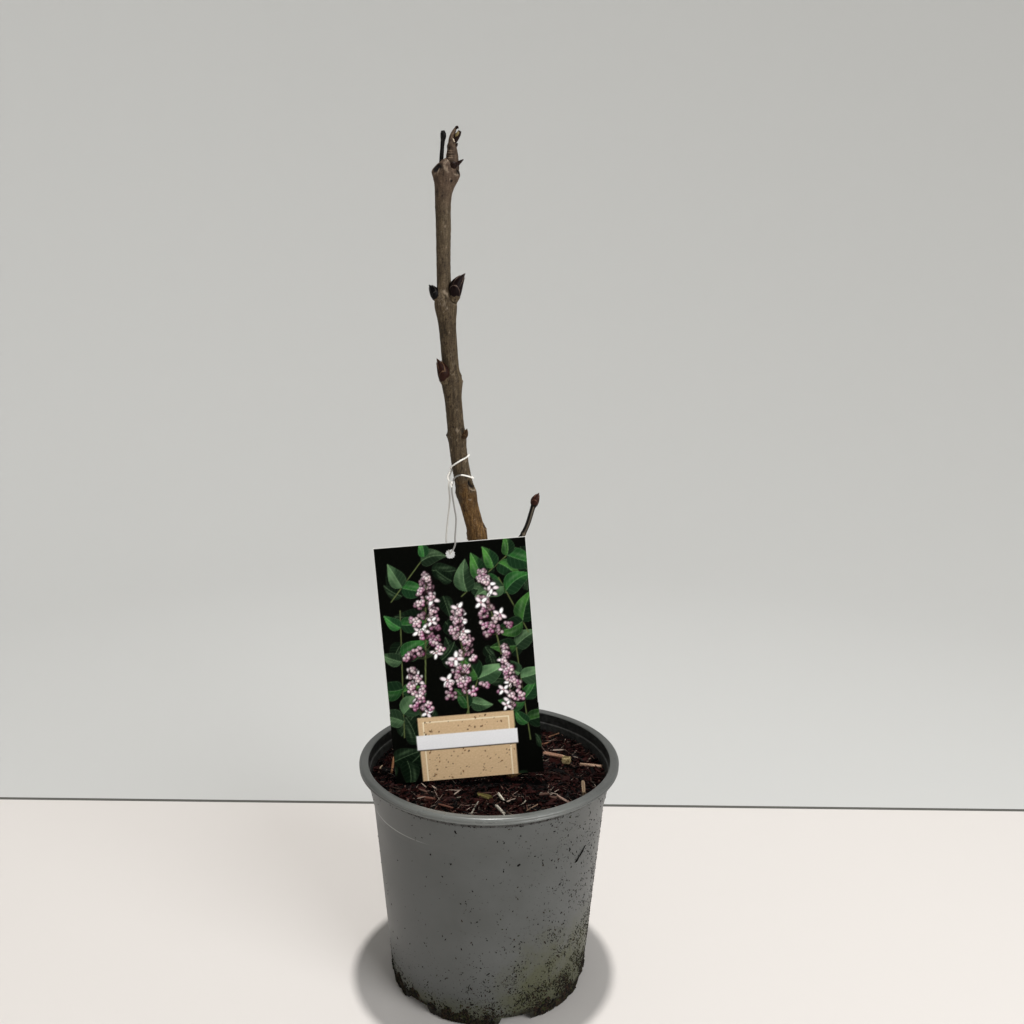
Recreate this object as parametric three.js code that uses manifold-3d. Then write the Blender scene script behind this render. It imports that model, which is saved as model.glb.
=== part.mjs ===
// A young lilac in winter, in its nursery pot: a grey plastic pot filled with bark compost,
// one leaning stem with pairs of buds and a dead tip, a side shoot, and a printed plant
// label that hangs from the stem on a doubled elastic.
// Millimetres, +Z up. The origin is the centre of the pot's underside, the label faces -Y.

import * as THREE from 'three';
import { mergeVertices } from 'three/addons/utils/BufferGeometryUtils.js';
import Module from 'manifold-3d';

const wasm = await Module();
wasm.setup();

// ---- driving dimensions ----

const gap = 0.3; // air between two pieces that touch
const roundSides = 64; // facets round the pot and the compost

const pot = {
  height: 157.6,
  rimRadius: 84.6,
  mouthRadius: 78.6,
  rimThickness: 3.8,
  collarTop: { z: 150.3, radius: 80.1 }, // where the rim's underside leaves the collar
  collarFoot: { z: 130, radius: 76.3 },
  wallTop: { z: 129, radius: 75.5 },
  wallFoot: { z: 9, radius: 66.3 },
  footRadius: 63.9,
  wall: 1.5,
  ledge: 1.0, // the small shelf inside, under the mouth
  skirt: 2.4, // thickness of the ring that the pot stands on
  floorUnderside: 7,
  floorTop: 8.6,
};

const notches = {
  count: 6,
  firstAngle: -73.3, // degrees from +X, so one notch is just right of the front
  height: 6.3,
  widthAtFoot: 24,
  widthAtTop: 18,
  cutDepth: 14, // how far each wedge runs in from outside the skirt
  drainRadius: 4.5,
  drainCircle: 54, // distance of the drain holes from the pot's axis
};

const compost = {
  level: 145.4, // mean height of its surface
  swell: 0.7, // height of the gentle waves in it, and their lengths over 2 pi
  waveLengthX: 17,
  waveLengthY: 20,
  groundLevel: 146.6, // trodden flat round the stem, then eased into the waves
  firmedRadius: 17,
  easeWidth: 14,
};

const stemSides = 14;
const flare = { radius: 4.2, height: 13, lobes: 5, lobeDepth: 1.3, sideways: 0.6 };

// The stem's centre and clean radius at chosen heights, from the ground to the dead tip.
const stemStations = [
  { z: compost.groundLevel + gap, x: 13.5, y: 1.5, radius: 7.3 },
  { z: 200, x: 8.4, y: 4.2, radius: 6.9 },
  { z: 255, x: 1.4, y: 6.6, radius: 6.5 },
  { z: 285, x: -4.4, y: 8, radius: 6.1 },
  { z: 305.3, x: -9.2, y: 8.8, radius: 5.7 },
  { z: 329.4, x: -15.3, y: 8.8, radius: 5.6 },
  { z: 351.5, x: -19.7, y: 8.8, radius: 5.35 },
  { z: 384.7, x: -23.1, y: 8.8, radius: 5.15 },
  { z: 414.8, x: -25.4, y: 8.8, radius: 4.95 },
  { z: 440.9, x: -27.4, y: 8.8, radius: 5.2 },
  { z: 456, x: -28.5, y: 8.8, radius: 4.2 },
  { z: 488, x: -28.7, y: 8.8, radius: 4.35 },
  { z: 503.2, x: -28.6, y: 8.8, radius: 4.8 },
  { z: 512.3, x: -27.1, y: 8.8, radius: 6.1 },
  { z: 519.3, x: -26.5, y: 8.8, radius: 5.6 },
  { z: 522.8, x: -26.2, y: 8.8, radius: 3.2 },
];

// Swellings where buds and leaf scars sit. Angles are in degrees from +X, -90 faces front.
const nodeSwellings = [
  { z: 307.3, angle: -15, height: 1.2, reach: 3.2, spread: 38 },
  { z: 302.8, angle: 180, height: 0.9, reach: 3, spread: 45 },
  { z: 331.9, angle: -30, height: 1.7, reach: 3.6, spread: 34 },
  { z: 330.4, angle: 185, height: 1.1, reach: 3.4, spread: 42 },
  { z: 365.6, angle: -25, height: 1, reach: 3.4, spread: 38 },
  { z: 365.6, angle: 180, height: 0.7, reach: 2, spread: 24 },
  { z: 399.7, angle: 0, height: 1.6, reach: 4.2, spread: 42 },
  { z: 397.7, angle: 205, height: 1.3, reach: 4.4, spread: 46 },
  { z: 443.4, angle: -15, height: 1.7, reach: 4.4, spread: 45 },
  { z: 443.4, angle: 180, height: 1.6, reach: 4.8, spread: 45 },
  { z: 516.8, angle: 185, height: 2.1, reach: 2.8, spread: 32 },
  { z: 515.3, angle: -10, height: 1.9, reach: 3.2, spread: 34 },
];

// Buds: base and tip in space, width and depth across, and how far the middle bows.
const buds = {
  bud_upper_right: { base: [-22.4, 5.7, 446.2], tip: [-15.8, 5, 461], width: 7.4, depth: 6.2, bow: -1.9 },
  bud_upper_left: { base: [-32.4, 7.8, 446], tip: [-37.2, 7, 454.4], width: 5.6, depth: 5, bow: 0.6 },
  bud_middle_left: { base: [-28.2, 4.4, 398.2], tip: [-32.7, 2.6, 412.4], width: 6.6, depth: 5, bow: 1.2 },
  bud_lower_right: { base: [-17.5, 4.8, 364.2], tip: [-14.7, 3.8, 371], width: 4.6, depth: 3.6, bow: 0.3 },
};

const deadStub = { foot: [-28.7, 8.8, 519], top: [-28.1, 8.8, 537.4], radius: 1.15, knob: 1.6 };
const tipSprig = {
  route: [[-23.4, 8.4, 519.3], [-23.3, 8.2, 526.3], [-23.5, 8.2, 531.3], [-22.1, 8.4, 535.6]],
  radii: [3.4, 3, 2.6, 2.1],
  leftTip: [-20.5, 8.6, 540.4],
  rightTip: [-18.4, 8, 538.2],
};
const thorn = { foot: [-21.6, 7.2, 519.9], tip: [-16.8, 6.4, 522.9], radius: 1.3 };

// The side shoot leaves the stem behind the label, bends up at a knee and ends in a bud.
const sideShoot = {
  route: [[-3.4, 8, 286], [3, 7.6, 290], [10.6, 7, 295.6], [16, 6.8, 299.8], [18.9, 6.8, 303],
    [20.9, 6.8, 306.8], [22.9, 6.8, 311.8], [26.1, 6.8, 322.6]],
  radii: [2.3, 2, 1.9, 1.8, 1.8, 1.35, 1.3, 1.35],
  endRoom: [1.8, 1.75], // the shoot's last stretch with its clearance, cut out of the bud's foot
  bud: { base: [26.2, 6.8, 323], tip: [29.5, 6.8, 331.4], width: 4.9, depth: 4.4, bow: -0.5 },
  secondTip: { base: [26.6, 6.8, 325], tip: [27.6, 6.9, 330.1], width: 3, depth: 3, bow: 0 },
};

const card = {
  width: 94.8,
  height: 152.4,
  thickness: 0.6,
  holeRadius: 2.6,
  holeDrop: 7.3, // from the card's top edge to the hole's centre
  corner: [-59.1, -19.1], // the bottom left corner, which rests on the compost
  yaw: 1.5, // degrees: turned about Z, leaning back, and hanging askew in its own plane
  lean: 7,
  skew: 5,
};

const elastic = { radius: 0.5, sides: 8, steps: 78 };

// The larger pieces of bark on the surface: middle, heading in degrees, and size.
const barkChips = {
  chip_long: { x: 43.4, y: 23.6, heading: -29, size: [14, 3.8, 1.8] },
  chip_square: { x: 51.8, y: 13.3, heading: -40, size: [6.4, 5.6, 2] },
  chip_split: { x: 67.6, y: 9.6, heading: -13, size: [14, 3.6, 1.8] },
  chip_upright: { x: 60.4, y: -24, heading: -93, size: [16, 3, 2] },
  chip_olive: { x: -2.5, y: -34.8, heading: -39, size: [9.5, 5, 1.4] },
};

const colours = {
  potPlastic: 0x6f7271,
  compost: 0x33231d,
  bark: 0x5b4a3a,
  deadWood: 0x1d1916,
  budScales: 0x2c1a16,
  cardPrint: 0x1b2a1c,
  elastic: 0xe6e2da,
  barkChip: 0xa98568,
};

// ---- helpers ----

const degrees = Math.PI / 180;
const vector = ([x, y, z]) => new THREE.Vector3(x, y, z);
const mix = (a, b, t) => a + (b - a) * t;

// Drops the faces that have no area once equal points are merged, as at a pole.
function mergedGeometry(geometry) {
  const bare = geometry.clone();
  bare.deleteAttribute('normal');
  bare.deleteAttribute('uv');
  const merged = mergeVertices(bare, 1e-4);
  const index = merged.index.array;
  const kept = [];
  for (let i = 0; i < index.length; i += 3) {
    const [a, b, c] = [index[i], index[i + 1], index[i + 2]];
    if (a !== b && b !== c && c !== a) kept.push(a, b, c);
  }
  merged.setIndex(kept);
  return merged;
}

function signedVolume(geometry) {
  const position = geometry.attributes.position;
  const index = geometry.index.array;
  const [a, b, c] = [new THREE.Vector3(), new THREE.Vector3(), new THREE.Vector3()];
  let total = 0;
  for (let i = 0; i < index.length; i += 3) {
    a.fromBufferAttribute(position, index[i]);
    b.fromBufferAttribute(position, index[i + 1]);
    c.fromBufferAttribute(position, index[i + 2]);
    total += a.dot(b.cross(c)) / 6;
  }
  return total;
}

// A closed three.js geometry as a manifold solid with its faces pointing out.
function toSolid(geometry) {
  const merged = mergedGeometry(geometry);
  const triVerts = new Uint32Array(merged.index.array);
  if (signedVolume(merged) < 0) triVerts.reverse();
  const vertProperties = new Float32Array(merged.attributes.position.array);
  return new wasm.Manifold(new wasm.Mesh({ numProp: 3, vertProperties, triVerts }));
}

function toGeometry(solid) {
  const mesh = solid.getMesh();
  const geometry = new THREE.BufferGeometry();
  geometry.setAttribute('position', new THREE.BufferAttribute(new Float32Array(mesh.vertProperties), 3));
  geometry.setIndex(new THREE.BufferAttribute(new Uint32Array(mesh.triVerts), 1));
  geometry.computeVertexNormals();
  return geometry;
}

// Where a cut leaves scraps, the largest piece is the one that is kept.
function largestPiece(solid) {
  const pieces = solid.decompose();
  return pieces.reduce((best, piece) => (piece.volume() > best.volume() ? piece : best));
}

// A closed skin over rings of equally many points, with a fan over each end.
function loft(rings) {
  const sides = rings[0].length;
  const points = rings.flat();
  const faces = [];
  for (let ring = 0; ring + 1 < rings.length; ring += 1) {
    for (let side = 0; side < sides; side += 1) {
      const next = (side + 1) % sides;
      const [a, b] = [ring * sides + side, ring * sides + next];
      faces.push(a, b, b + sides, a, b + sides, a + sides);
    }
  }
  for (const [ring, start] of [[rings[0], 0], [rings.at(-1), (rings.length - 1) * sides]]) {
    const centre = ring.reduce((sum, point) => sum.add(point), new THREE.Vector3());
    points.push(centre.divideScalar(sides));
    const middle = points.length - 1;
    for (let side = 0; side < sides; side += 1) {
      const [a, b] = [start + side, start + ((side + 1) % sides)];
      faces.push(...(start === 0 ? [b, a, middle] : [a, b, middle]));
    }
  }
  const geometry = new THREE.BufferGeometry().setFromPoints(points);
  geometry.setIndex(faces);
  return geometry;
}

// A round limb along a smooth route, its radius eased from each point to the next.
function limb(route, radii, sides, ringCount) {
  const curve = new THREE.CatmullRomCurve3(route.map(vector));
  const frames = curve.computeFrenetFrames(ringCount, false);
  const rings = [];
  for (let i = 0; i <= ringCount; i += 1) {
    const t = i / ringCount;
    const along = t * (radii.length - 1);
    const stretch = Math.min(Math.floor(along), radii.length - 2);
    const radius = mix(radii[stretch], radii[stretch + 1], along - stretch);
    const centre = curve.getPoint(t);
    const ring = [];
    for (let side = 0; side < sides; side += 1) {
      const angle = (side / sides) * 2 * Math.PI;
      ring.push(centre.clone()
        .addScaledVector(frames.normals[i], radius * Math.cos(angle))
        .addScaledVector(frames.binormals[i], radius * Math.sin(angle)));
    }
    rings.push(ring);
  }
  return toSolid(loft(rings));
}

// ---- pot ----

// The wall's outer radius at a height, straight between the foot, the step and the rim.
function outerRadius(z) {
  const [low, high] = z < pot.collarFoot.z ? [pot.wallFoot, pot.wallTop] : [pot.collarFoot, pot.collarTop];
  return mix(low.radius, high.radius, (z - low.z) / (high.z - low.z));
}

const ledgeZ = pot.collarTop.z - 0.5;
const ledgeRadius = pot.mouthRadius - pot.ledge;

function innerRadius(z) {
  if (z < pot.collarFoot.z) return outerRadius(z) - pot.wall;
  const stepRadius = pot.collarFoot.radius - pot.wall;
  return mix(stepRadius, ledgeRadius, (z - pot.collarFoot.z) / (ledgeZ - pot.collarFoot.z));
}

function latheSolid(profile) {
  const points = profile.map(([radius, z]) => new THREE.Vector2(radius, z));
  return toSolid(new THREE.LatheGeometry(points, roundSides).rotateX(Math.PI / 2));
}

function potBody() {
  const top = pot.height;
  const lip = pot.rimRadius;
  const rimUnderside = top - pot.rimThickness;
  return latheSolid([
    [0, pot.floorTop],
    [innerRadius(pot.floorTop) - 2, pot.floorTop],
    [innerRadius(pot.floorTop + 3), pot.floorTop + 3],
    [innerRadius(pot.wallTop.z), pot.wallTop.z],
    [innerRadius(pot.collarFoot.z), pot.collarFoot.z],
    [ledgeRadius, ledgeZ],
    [pot.mouthRadius, pot.collarTop.z],
    [pot.mouthRadius, top - 0.6],
    [pot.mouthRadius + 0.8, top],
    [lip - 1.5, top],
    [lip - 0.5, top - 0.4],
    [lip, top - 1.3],
    [lip, rimUnderside + 0.9],
    [lip - 0.7, rimUnderside],
    [pot.collarTop.radius + 0.5, rimUnderside - 0.2],
    [pot.collarTop.radius, pot.collarTop.z],
    [pot.collarFoot.radius, pot.collarFoot.z],
    [pot.wallTop.radius, pot.wallTop.z],
    [pot.wallFoot.radius, pot.wallFoot.z],
    [pot.footRadius + 1.8, 3.5],
    [pot.footRadius + 1.2, 1],
    [pot.footRadius, 0],
    [pot.footRadius - pot.skirt, 0],
    [pot.footRadius - pot.skirt, pot.floorUnderside - 1],
    [pot.footRadius - pot.skirt - 1, pot.floorUnderside],
    [0, pot.floorUnderside],
  ]);
}

// One wedge through the skirt, and the drain hole in the floor behind it.
function notchCutters(angle) {
  const [foot, top] = [notches.widthAtFoot / 2, notches.widthAtTop / 2];
  const outline = new THREE.Shape([
    new THREE.Vector2(-foot, -1),
    new THREE.Vector2(foot, -1),
    new THREE.Vector2(top, notches.height),
    new THREE.Vector2(-top, notches.height),
  ]);
  const wedge = new THREE.ExtrudeGeometry(outline, { depth: notches.cutDepth, bevelEnabled: false });
  wedge.rotateX(Math.PI / 2).rotateZ(Math.PI / 2).translate(pot.footRadius - notches.cutDepth / 2, 0, 0);
  wedge.rotateZ(angle);
  const drain = new THREE.CylinderGeometry(notches.drainRadius, notches.drainRadius, 6, 12);
  drain.rotateX(Math.PI / 2).translate(notches.drainCircle, 0, pot.floorTop).rotateZ(angle);
  return [toSolid(wedge), toSolid(drain)];
}

function potSolid() {
  let solid = potBody();
  for (let i = 0; i < notches.count; i += 1) {
    const angle = (notches.firstAngle + (360 / notches.count) * i) * degrees;
    for (const cutter of notchCutters(angle)) solid = solid.subtract(cutter);
  }
  return solid;
}

// ---- compost ----

// Height of the surface: slow waves, eased into the flat round the stem.
function compostHeight(x, y) {
  const { waveLengthX, waveLengthY, firmedRadius, easeWidth } = compost;
  const waves = Math.sin(x / waveLengthX + 0.8) * Math.cos(y / waveLengthY - 0.4);
  const ripples = 0.5 * Math.sin((x + 2 * y) / (1.5 * waveLengthX));
  const loose = compost.level + (compost.swell * (waves + ripples)) / 1.5;
  const [foot] = stemStations;
  const distance = Math.hypot(x - foot.x, y - foot.y);
  const ease = THREE.MathUtils.smoothstep(distance, firmedRadius, firmedRadius + easeWidth);
  return mix(compost.groundLevel, loose, ease);
}

function compostRing(radius, heightAt) {
  const ring = [];
  for (let i = 0; i < roundSides; i += 1) {
    const angle = (i / roundSides) * 2 * Math.PI;
    const [x, y] = [radius * Math.cos(angle), radius * Math.sin(angle)];
    ring.push(new THREE.Vector3(x, y, heightAt(x, y)));
  }
  return ring;
}

function compostSolid() {
  const fit = gap + 0.05;
  const bottom = pot.floorTop + fit;
  const corner = bottom + 3;
  const sideHeights = [corner, pot.wallTop.z - 1, pot.collarFoot.z - 1];
  const edge = innerRadius(compost.level) - fit;
  const rings = [compostRing(innerRadius(bottom) - 3, () => bottom)];
  for (const z of sideHeights) rings.push(compostRing(innerRadius(z) - fit, () => z));
  for (const share of [1, 0.86, 0.72, 0.58, 0.44, 0.3, 0.16]) {
    rings.push(compostRing(edge * share, compostHeight));
  }
  const seat = new THREE.CylinderGeometry(compost.firmedRadius, compost.firmedRadius, 6, 24);
  const [foot] = stemStations;
  seat.rotateX(Math.PI / 2).translate(foot.x, foot.y, compost.groundLevel + 3);
  return toSolid(loft(rings)).subtract(toSolid(seat));
}

// A chip lies on the highest point of the surface that is under it.
function chipSolid({ x, y, heading, size: [length, width, thickness] }) {
  const turn = heading * degrees;
  let rest = 0;
  for (const along of [-0.5, -0.25, 0, 0.25, 0.5]) {
    for (const across of [-0.5, 0, 0.5]) {
      const [dx, dy] = [along * length, across * width];
      const px = x + dx * Math.cos(turn) - dy * Math.sin(turn);
      const py = y + dx * Math.sin(turn) + dy * Math.cos(turn);
      rest = Math.max(rest, compostHeight(px, py));
    }
  }
  const [l, w] = [length / 2, width / 2];
  const outline = new THREE.Shape([
    new THREE.Vector2(-l, -0.8 * w),
    new THREE.Vector2(-0.3 * l, -w),
    new THREE.Vector2(l, -0.7 * w),
    new THREE.Vector2(0.9 * l, 0.8 * w),
    new THREE.Vector2(0.1 * l, w),
    new THREE.Vector2(-0.94 * l, 0.7 * w),
  ]);
  const slab = new THREE.ExtrudeGeometry(outline, { depth: thickness, bevelEnabled: false });
  slab.rotateZ(turn).translate(x, y, rest + gap + 0.15);
  return toSolid(slab);
}

// ---- stem ----

// Smooth value of one named measure of the stem at a height.
function stemMeasure(z, name) {
  const last = stemStations.length - 1;
  let i = 0;
  while (i < last - 1 && z > stemStations[i + 1].z) i += 1;
  const [before, low] = [stemStations[Math.max(i - 1, 0)], stemStations[i]];
  const [high, after] = [stemStations[i + 1], stemStations[Math.min(i + 2, last)]];
  const span = high.z - low.z;
  const t = THREE.MathUtils.clamp((z - low.z) / span, 0, 1);
  const startSlope = ((high[name] - before[name]) / (high.z - before.z)) * span;
  const endSlope = ((after[name] - low[name]) / (after.z - low.z)) * span;
  const t2 = t * t;
  const t3 = t2 * t;
  return (2 * t3 - 3 * t2 + 1) * low[name] + (t3 - 2 * t2 + t) * startSlope
    + (3 * t2 - 2 * t3) * high[name] + (t3 - t2) * endSlope;
}

const stemCentre = (z) => new THREE.Vector3(stemMeasure(z, 'x'), stemMeasure(z, 'y'), z);

// Radius of the stem in one direction: clean taper, root flare, and the swellings.
function stemRadius(z, angle) {
  const rise = (z - stemStations[0].z) / flare.height;
  const foot = Math.exp(-2.2 * rise * rise);
  const lobes = flare.lobeDepth * Math.cos(flare.lobes * angle + flare.sideways);
  let radius = stemMeasure(z, 'radius') + foot * (flare.radius + lobes);
  for (const node of nodeSwellings) {
    const turn = Math.atan2(Math.sin(angle - node.angle * degrees), Math.cos(angle - node.angle * degrees));
    const sideways = Math.exp(-((turn / (node.spread * degrees)) ** 2));
    const reach = z < node.z ? node.reach * 1.7 : node.reach; // they build up slowly from below
    radius += node.height * sideways * Math.exp(-(((z - node.z) / reach) ** 2));
  }
  return radius;
}

function stemPoint(z, angle, clear = 0) {
  const reach = stemRadius(z, angle) + clear;
  return stemCentre(z).add(new THREE.Vector3(reach * Math.cos(angle), reach * Math.sin(angle), 0));
}

// Heights of the rings: close together at the swellings, the foot and the tip, wide between.
function stemHeights() {
  const [bottom, top] = [stemStations[0].z, stemStations.at(-1).z];
  const heights = [bottom];
  while (heights.at(-1) < top) {
    const z = heights.at(-1);
    const nearNode = nodeSwellings.some((node) => z > node.z - 9 && z < node.z + 6);
    const nearEnd = z < bottom + flare.height || z > top - 8;
    const step = nearNode || nearEnd ? 2.2 : 7;
    heights.push(Math.min(z + step, top));
  }
  return heights;
}

function stemSolid(clear = 0) {
  const rings = stemHeights().map((z) => {
    const ring = [];
    for (let side = 0; side < stemSides; side += 1) {
      ring.push(stemPoint(z, (side / stemSides) * 2 * Math.PI, clear));
    }
    return ring;
  });
  for (const point of rings.at(-1)) point.z += clear; // the clearance goes over the top too
  return toSolid(loft(rings));
}

// ---- buds, shoots and the dead tip ----

// A pointed bud: full near its foot, drawn out to a tip, its middle bowed sideways.
function budSolid({ base, tip, width, depth, bow }) {
  const [foot, point] = [vector(base), vector(tip)];
  const axis = point.clone().sub(foot).normalize();
  const front = new THREE.Vector3(0, -1, 0);
  const side = new THREE.Vector3().crossVectors(axis, front).normalize();
  const towards = new THREE.Vector3().crossVectors(side, axis).normalize();
  const fullness = [0.62, 0.86, 1, 0.98, 0.84, 0.62, 0.36, 0.1];
  const sides = 10;
  const rings = fullness.map((share, i) => {
    const t = i / (fullness.length - 1);
    const centre = foot.clone().lerp(point, t).addScaledVector(side, bow * Math.sin(Math.PI * t));
    const ring = [];
    for (let k = 0; k < sides; k += 1) {
      const angle = (k / sides) * 2 * Math.PI;
      ring.push(centre.clone()
        .addScaledVector(side, (width / 2) * share * Math.cos(angle))
        .addScaledVector(towards, (depth / 2) * share * Math.sin(angle)));
    }
    return ring;
  });
  return toSolid(loft(rings));
}

function deadStubSolid() {
  const { foot, top, radius, knob } = deadStub;
  const neck = [mix(foot[0], top[0], 0.9), mix(foot[1], top[1], 0.9), mix(foot[2], top[2], 0.9)];
  const crown = [top[0], top[1], top[2] + 1];
  return limb([foot, neck, top, crown], [radius * 1.15, radius, knob, radius * 0.6], 8, 12);
}

function tipSprigSolid() {
  const { route, radii, leftTip, rightTip } = tipSprig;
  const fork = route.at(-1);
  const root = [fork[0] - 0.3, fork[1], fork[2] - 1.2];
  const left = limb([root, leftTip], [1.6, 0.7], 7, 3);
  const right = limb([root, rightTip], [1.7, 1], 7, 3);
  return limb(route, radii, 9, 8).add(left).add(right);
}

const thornSolid = () => limb([thorn.foot, thorn.tip], [thorn.radius, 0.25], 7, 3);

// ---- label ----

// The card's frame: X along its bottom edge, Y up its face, Z out of its front.
function cardFrame() {
  const { corner, yaw, lean, skew } = card;
  const along = new THREE.Vector3(Math.cos(yaw * degrees), Math.sin(yaw * degrees), 0);
  const back = new THREE.Vector3(-along.y, along.x, 0);
  const rise = new THREE.Vector3(0, 0, Math.cos(lean * degrees));
  rise.addScaledVector(back, Math.sin(lean * degrees));
  const right = along.clone().multiplyScalar(Math.cos(skew * degrees));
  right.addScaledVector(rise, Math.sin(skew * degrees));
  const up = rise.clone().multiplyScalar(Math.cos(skew * degrees));
  up.addScaledVector(along, -Math.sin(skew * degrees));
  const front = new THREE.Vector3().crossVectors(right, up);
  const restHeight = compostHeight(...corner) + gap;
  return new THREE.Matrix4().makeBasis(right, up, front).setPosition(corner[0], corner[1], restHeight);
}

function cardGeometry() {
  const outline = new THREE.Shape([
    new THREE.Vector2(0, 0),
    new THREE.Vector2(card.width, 0),
    new THREE.Vector2(card.width, card.height),
    new THREE.Vector2(0, card.height),
  ]);
  const hole = new THREE.Path();
  hole.absarc(card.width / 2, card.height - card.holeDrop, card.holeRadius, 0, 2 * Math.PI, true);
  outline.holes.push(hole);
  const slab = new THREE.ExtrudeGeometry(outline, {
    depth: card.thickness, bevelEnabled: false, curveSegments: 8,
  });
  return slab.translate(0, 0, -card.thickness);
}

// ---- elastic ----

// From the front of the hole up to the stem's left side, twice round it, and down behind
// the card into the hole again. The two ends stop just short of each other in the hole.
function elasticGeometry() {
  const frame = cardFrame();
  const hole = [card.width / 2, card.height - card.holeDrop];
  const inCard = (x, y, out) => new THREE.Vector3(hole[0] + x, hole[1] + y, out).applyMatrix4(frame);
  const snug = elastic.radius + gap + 0.25;
  const onStem = (angle, z, extra = 0) => stemPoint(z, angle * degrees, snug + extra);
  const behind = -card.thickness;
  const route = [
    inCard(0.1, 0.3, behind / 2 + 0.75),
    inCard(0.8, 1.3, 1.1),
    inCard(2.6, 3.8, 1.3),
    inCard(3.7, 6.8, 1.4),
    inCard(3.8, 9.6, 1.3),
    vector([-21.5, 1.5, 316]),
    vector([-22.7, 3, 323]),
    vector([-24.2, 4.8, 333.6]),
    onStem(204, 338.4),
    onStem(232, 341.2),
    onStem(268, 342.7),
    onStem(310, 341.6),
    onStem(350, 339.8),
    onStem(405, 340),
    onStem(450, 341.6),
    onStem(495, 343.6),
    onStem(540, 345.4),
    onStem(585, 348),
    onStem(630, 351),
    onStem(675, 353.2),
    onStem(715, 354.2),
    onStem(765, 352.6),
    onStem(815, 349.4),
    onStem(862, 345.2),
    onStem(893, 341.6, 1.2),
    vector([-26.2, 6.6, 336.4]),
    vector([-25.6, 5.8, 326]),
    vector([-26.8, 4.4, 314]),
    inCard(-1.9, 8, behind - 1.6),
    inCard(-1.2, 3.4, behind - 1.2),
    inCard(-0.3, 0.6, behind - 0.8),
    inCard(0, -0.2, behind / 2 - 0.75),
  ];
  const circle = new THREE.Shape();
  circle.absarc(0, 0, elastic.radius, 0, 2 * Math.PI);
  return new THREE.ExtrudeGeometry(new THREE.Shape(circle.getPoints(elastic.sides / 2).slice(0, -1)), {
    extrudePath: new THREE.CatmullRomCurve3(route, false, 'centripetal'),
    steps: elastic.steps,
    bevelEnabled: false,
  });
}

// ---- assembly ----

const group = new THREE.Group();

function addMesh(name, geometry, color, roughness) {
  const mesh = new THREE.Mesh(geometry, new THREE.MeshStandardMaterial({ color, roughness, metalness: 0 }));
  mesh.name = name;
  group.add(mesh);
  return mesh;
}

const addSolid = (name, solid, color, roughness) => addMesh(name, toGeometry(solid), color, roughness);

addSolid('pot', potSolid(), colours.potPlastic, 0.5);
addSolid('compost', compostSolid(), colours.compost, 0.95);
addSolid('main_stem', stemSolid(), colours.bark, 0.8);

const stemRoom = stemSolid(gap + 0.05); // the stem with its clearance, which pieces on it are cut by

for (const [name, bud] of Object.entries(buds)) {
  addSolid(name, largestPiece(budSolid(bud).subtract(stemRoom)), colours.budScales, 0.6);
}

addSolid('dead_stub', largestPiece(deadStubSolid().subtract(stemRoom)), colours.deadWood, 0.85);
const sprig = tipSprigSolid().add(thornSolid());
addSolid('tip_sprig', largestPiece(sprig.subtract(stemRoom)), colours.bark, 0.8);

const shoot = limb(sideShoot.route, sideShoot.radii, 9, 24);
addSolid('side_shoot', largestPiece(shoot.subtract(stemRoom)), colours.deadWood, 0.75);
const sideBud = budSolid(sideShoot.bud).add(budSolid(sideShoot.secondTip));
const shootRoom = limb([sideShoot.route.at(-2), sideShoot.bud.base], sideShoot.endRoom, 9, 6);
addSolid('side_bud', largestPiece(sideBud.subtract(shootRoom)), colours.budScales, 0.6);

const label = addMesh('label_card', cardGeometry(), colours.cardPrint, 0.4);
label.applyMatrix4(cardFrame());
addSolid('label_elastic', toSolid(elasticGeometry()), colours.elastic, 0.6);

for (const [name, chip] of Object.entries(barkChips)) {
  addSolid(name, chipSolid(chip), colours.barkChip, 0.85);
}

export default group;
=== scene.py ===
import math
import random
from functools import partial

import bpy
import numpy as np
from mathutils import Matrix, Vector, noise


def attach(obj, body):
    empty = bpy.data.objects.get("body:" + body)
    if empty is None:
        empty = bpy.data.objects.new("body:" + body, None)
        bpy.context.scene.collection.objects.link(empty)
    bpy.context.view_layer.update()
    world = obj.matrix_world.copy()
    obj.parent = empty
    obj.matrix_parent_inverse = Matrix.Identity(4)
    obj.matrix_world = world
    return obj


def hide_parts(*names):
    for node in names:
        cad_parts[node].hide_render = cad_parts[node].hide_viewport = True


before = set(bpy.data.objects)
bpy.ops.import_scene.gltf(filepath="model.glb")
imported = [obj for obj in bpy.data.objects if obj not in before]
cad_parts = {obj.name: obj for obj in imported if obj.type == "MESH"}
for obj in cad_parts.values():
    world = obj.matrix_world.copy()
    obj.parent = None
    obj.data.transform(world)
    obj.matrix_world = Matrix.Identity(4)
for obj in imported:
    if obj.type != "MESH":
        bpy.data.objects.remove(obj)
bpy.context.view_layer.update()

mm = 0.001
fullTurn = 2 * math.pi


def screenColour(text):
    return np.array([int(text[i:i + 2], 16) / 255 for i in (0, 2, 4)])


def linearColour(screen):
    return np.where(screen <= 0.04045, screen / 12.92, ((screen + 0.055) / 1.055) ** 2.4)


def hexColour(text):
    return (*linearColour(screenColour(text)), 1.0)


# Fills a node's sockets, in order or by name, with numbers, hex colours, or what comes out of other nodes.
def feed(node, *values, **named):
    sockets = [socket for socket in node.inputs if socket.enabled][:len(values)]
    sockets += [node.inputs[name.replace("_", " ")] for name in named]
    for socket, value in zip(sockets, [*values, *named.values()]):
        if isinstance(value, bpy.types.Node):
            value = next(output for output in value.outputs if output.enabled)
        if isinstance(value, bpy.types.NodeSocket):
            node.id_data.links.new(value, socket)
        else:
            socket.default_value = hexColour(value) if isinstance(value, str) else value


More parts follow.
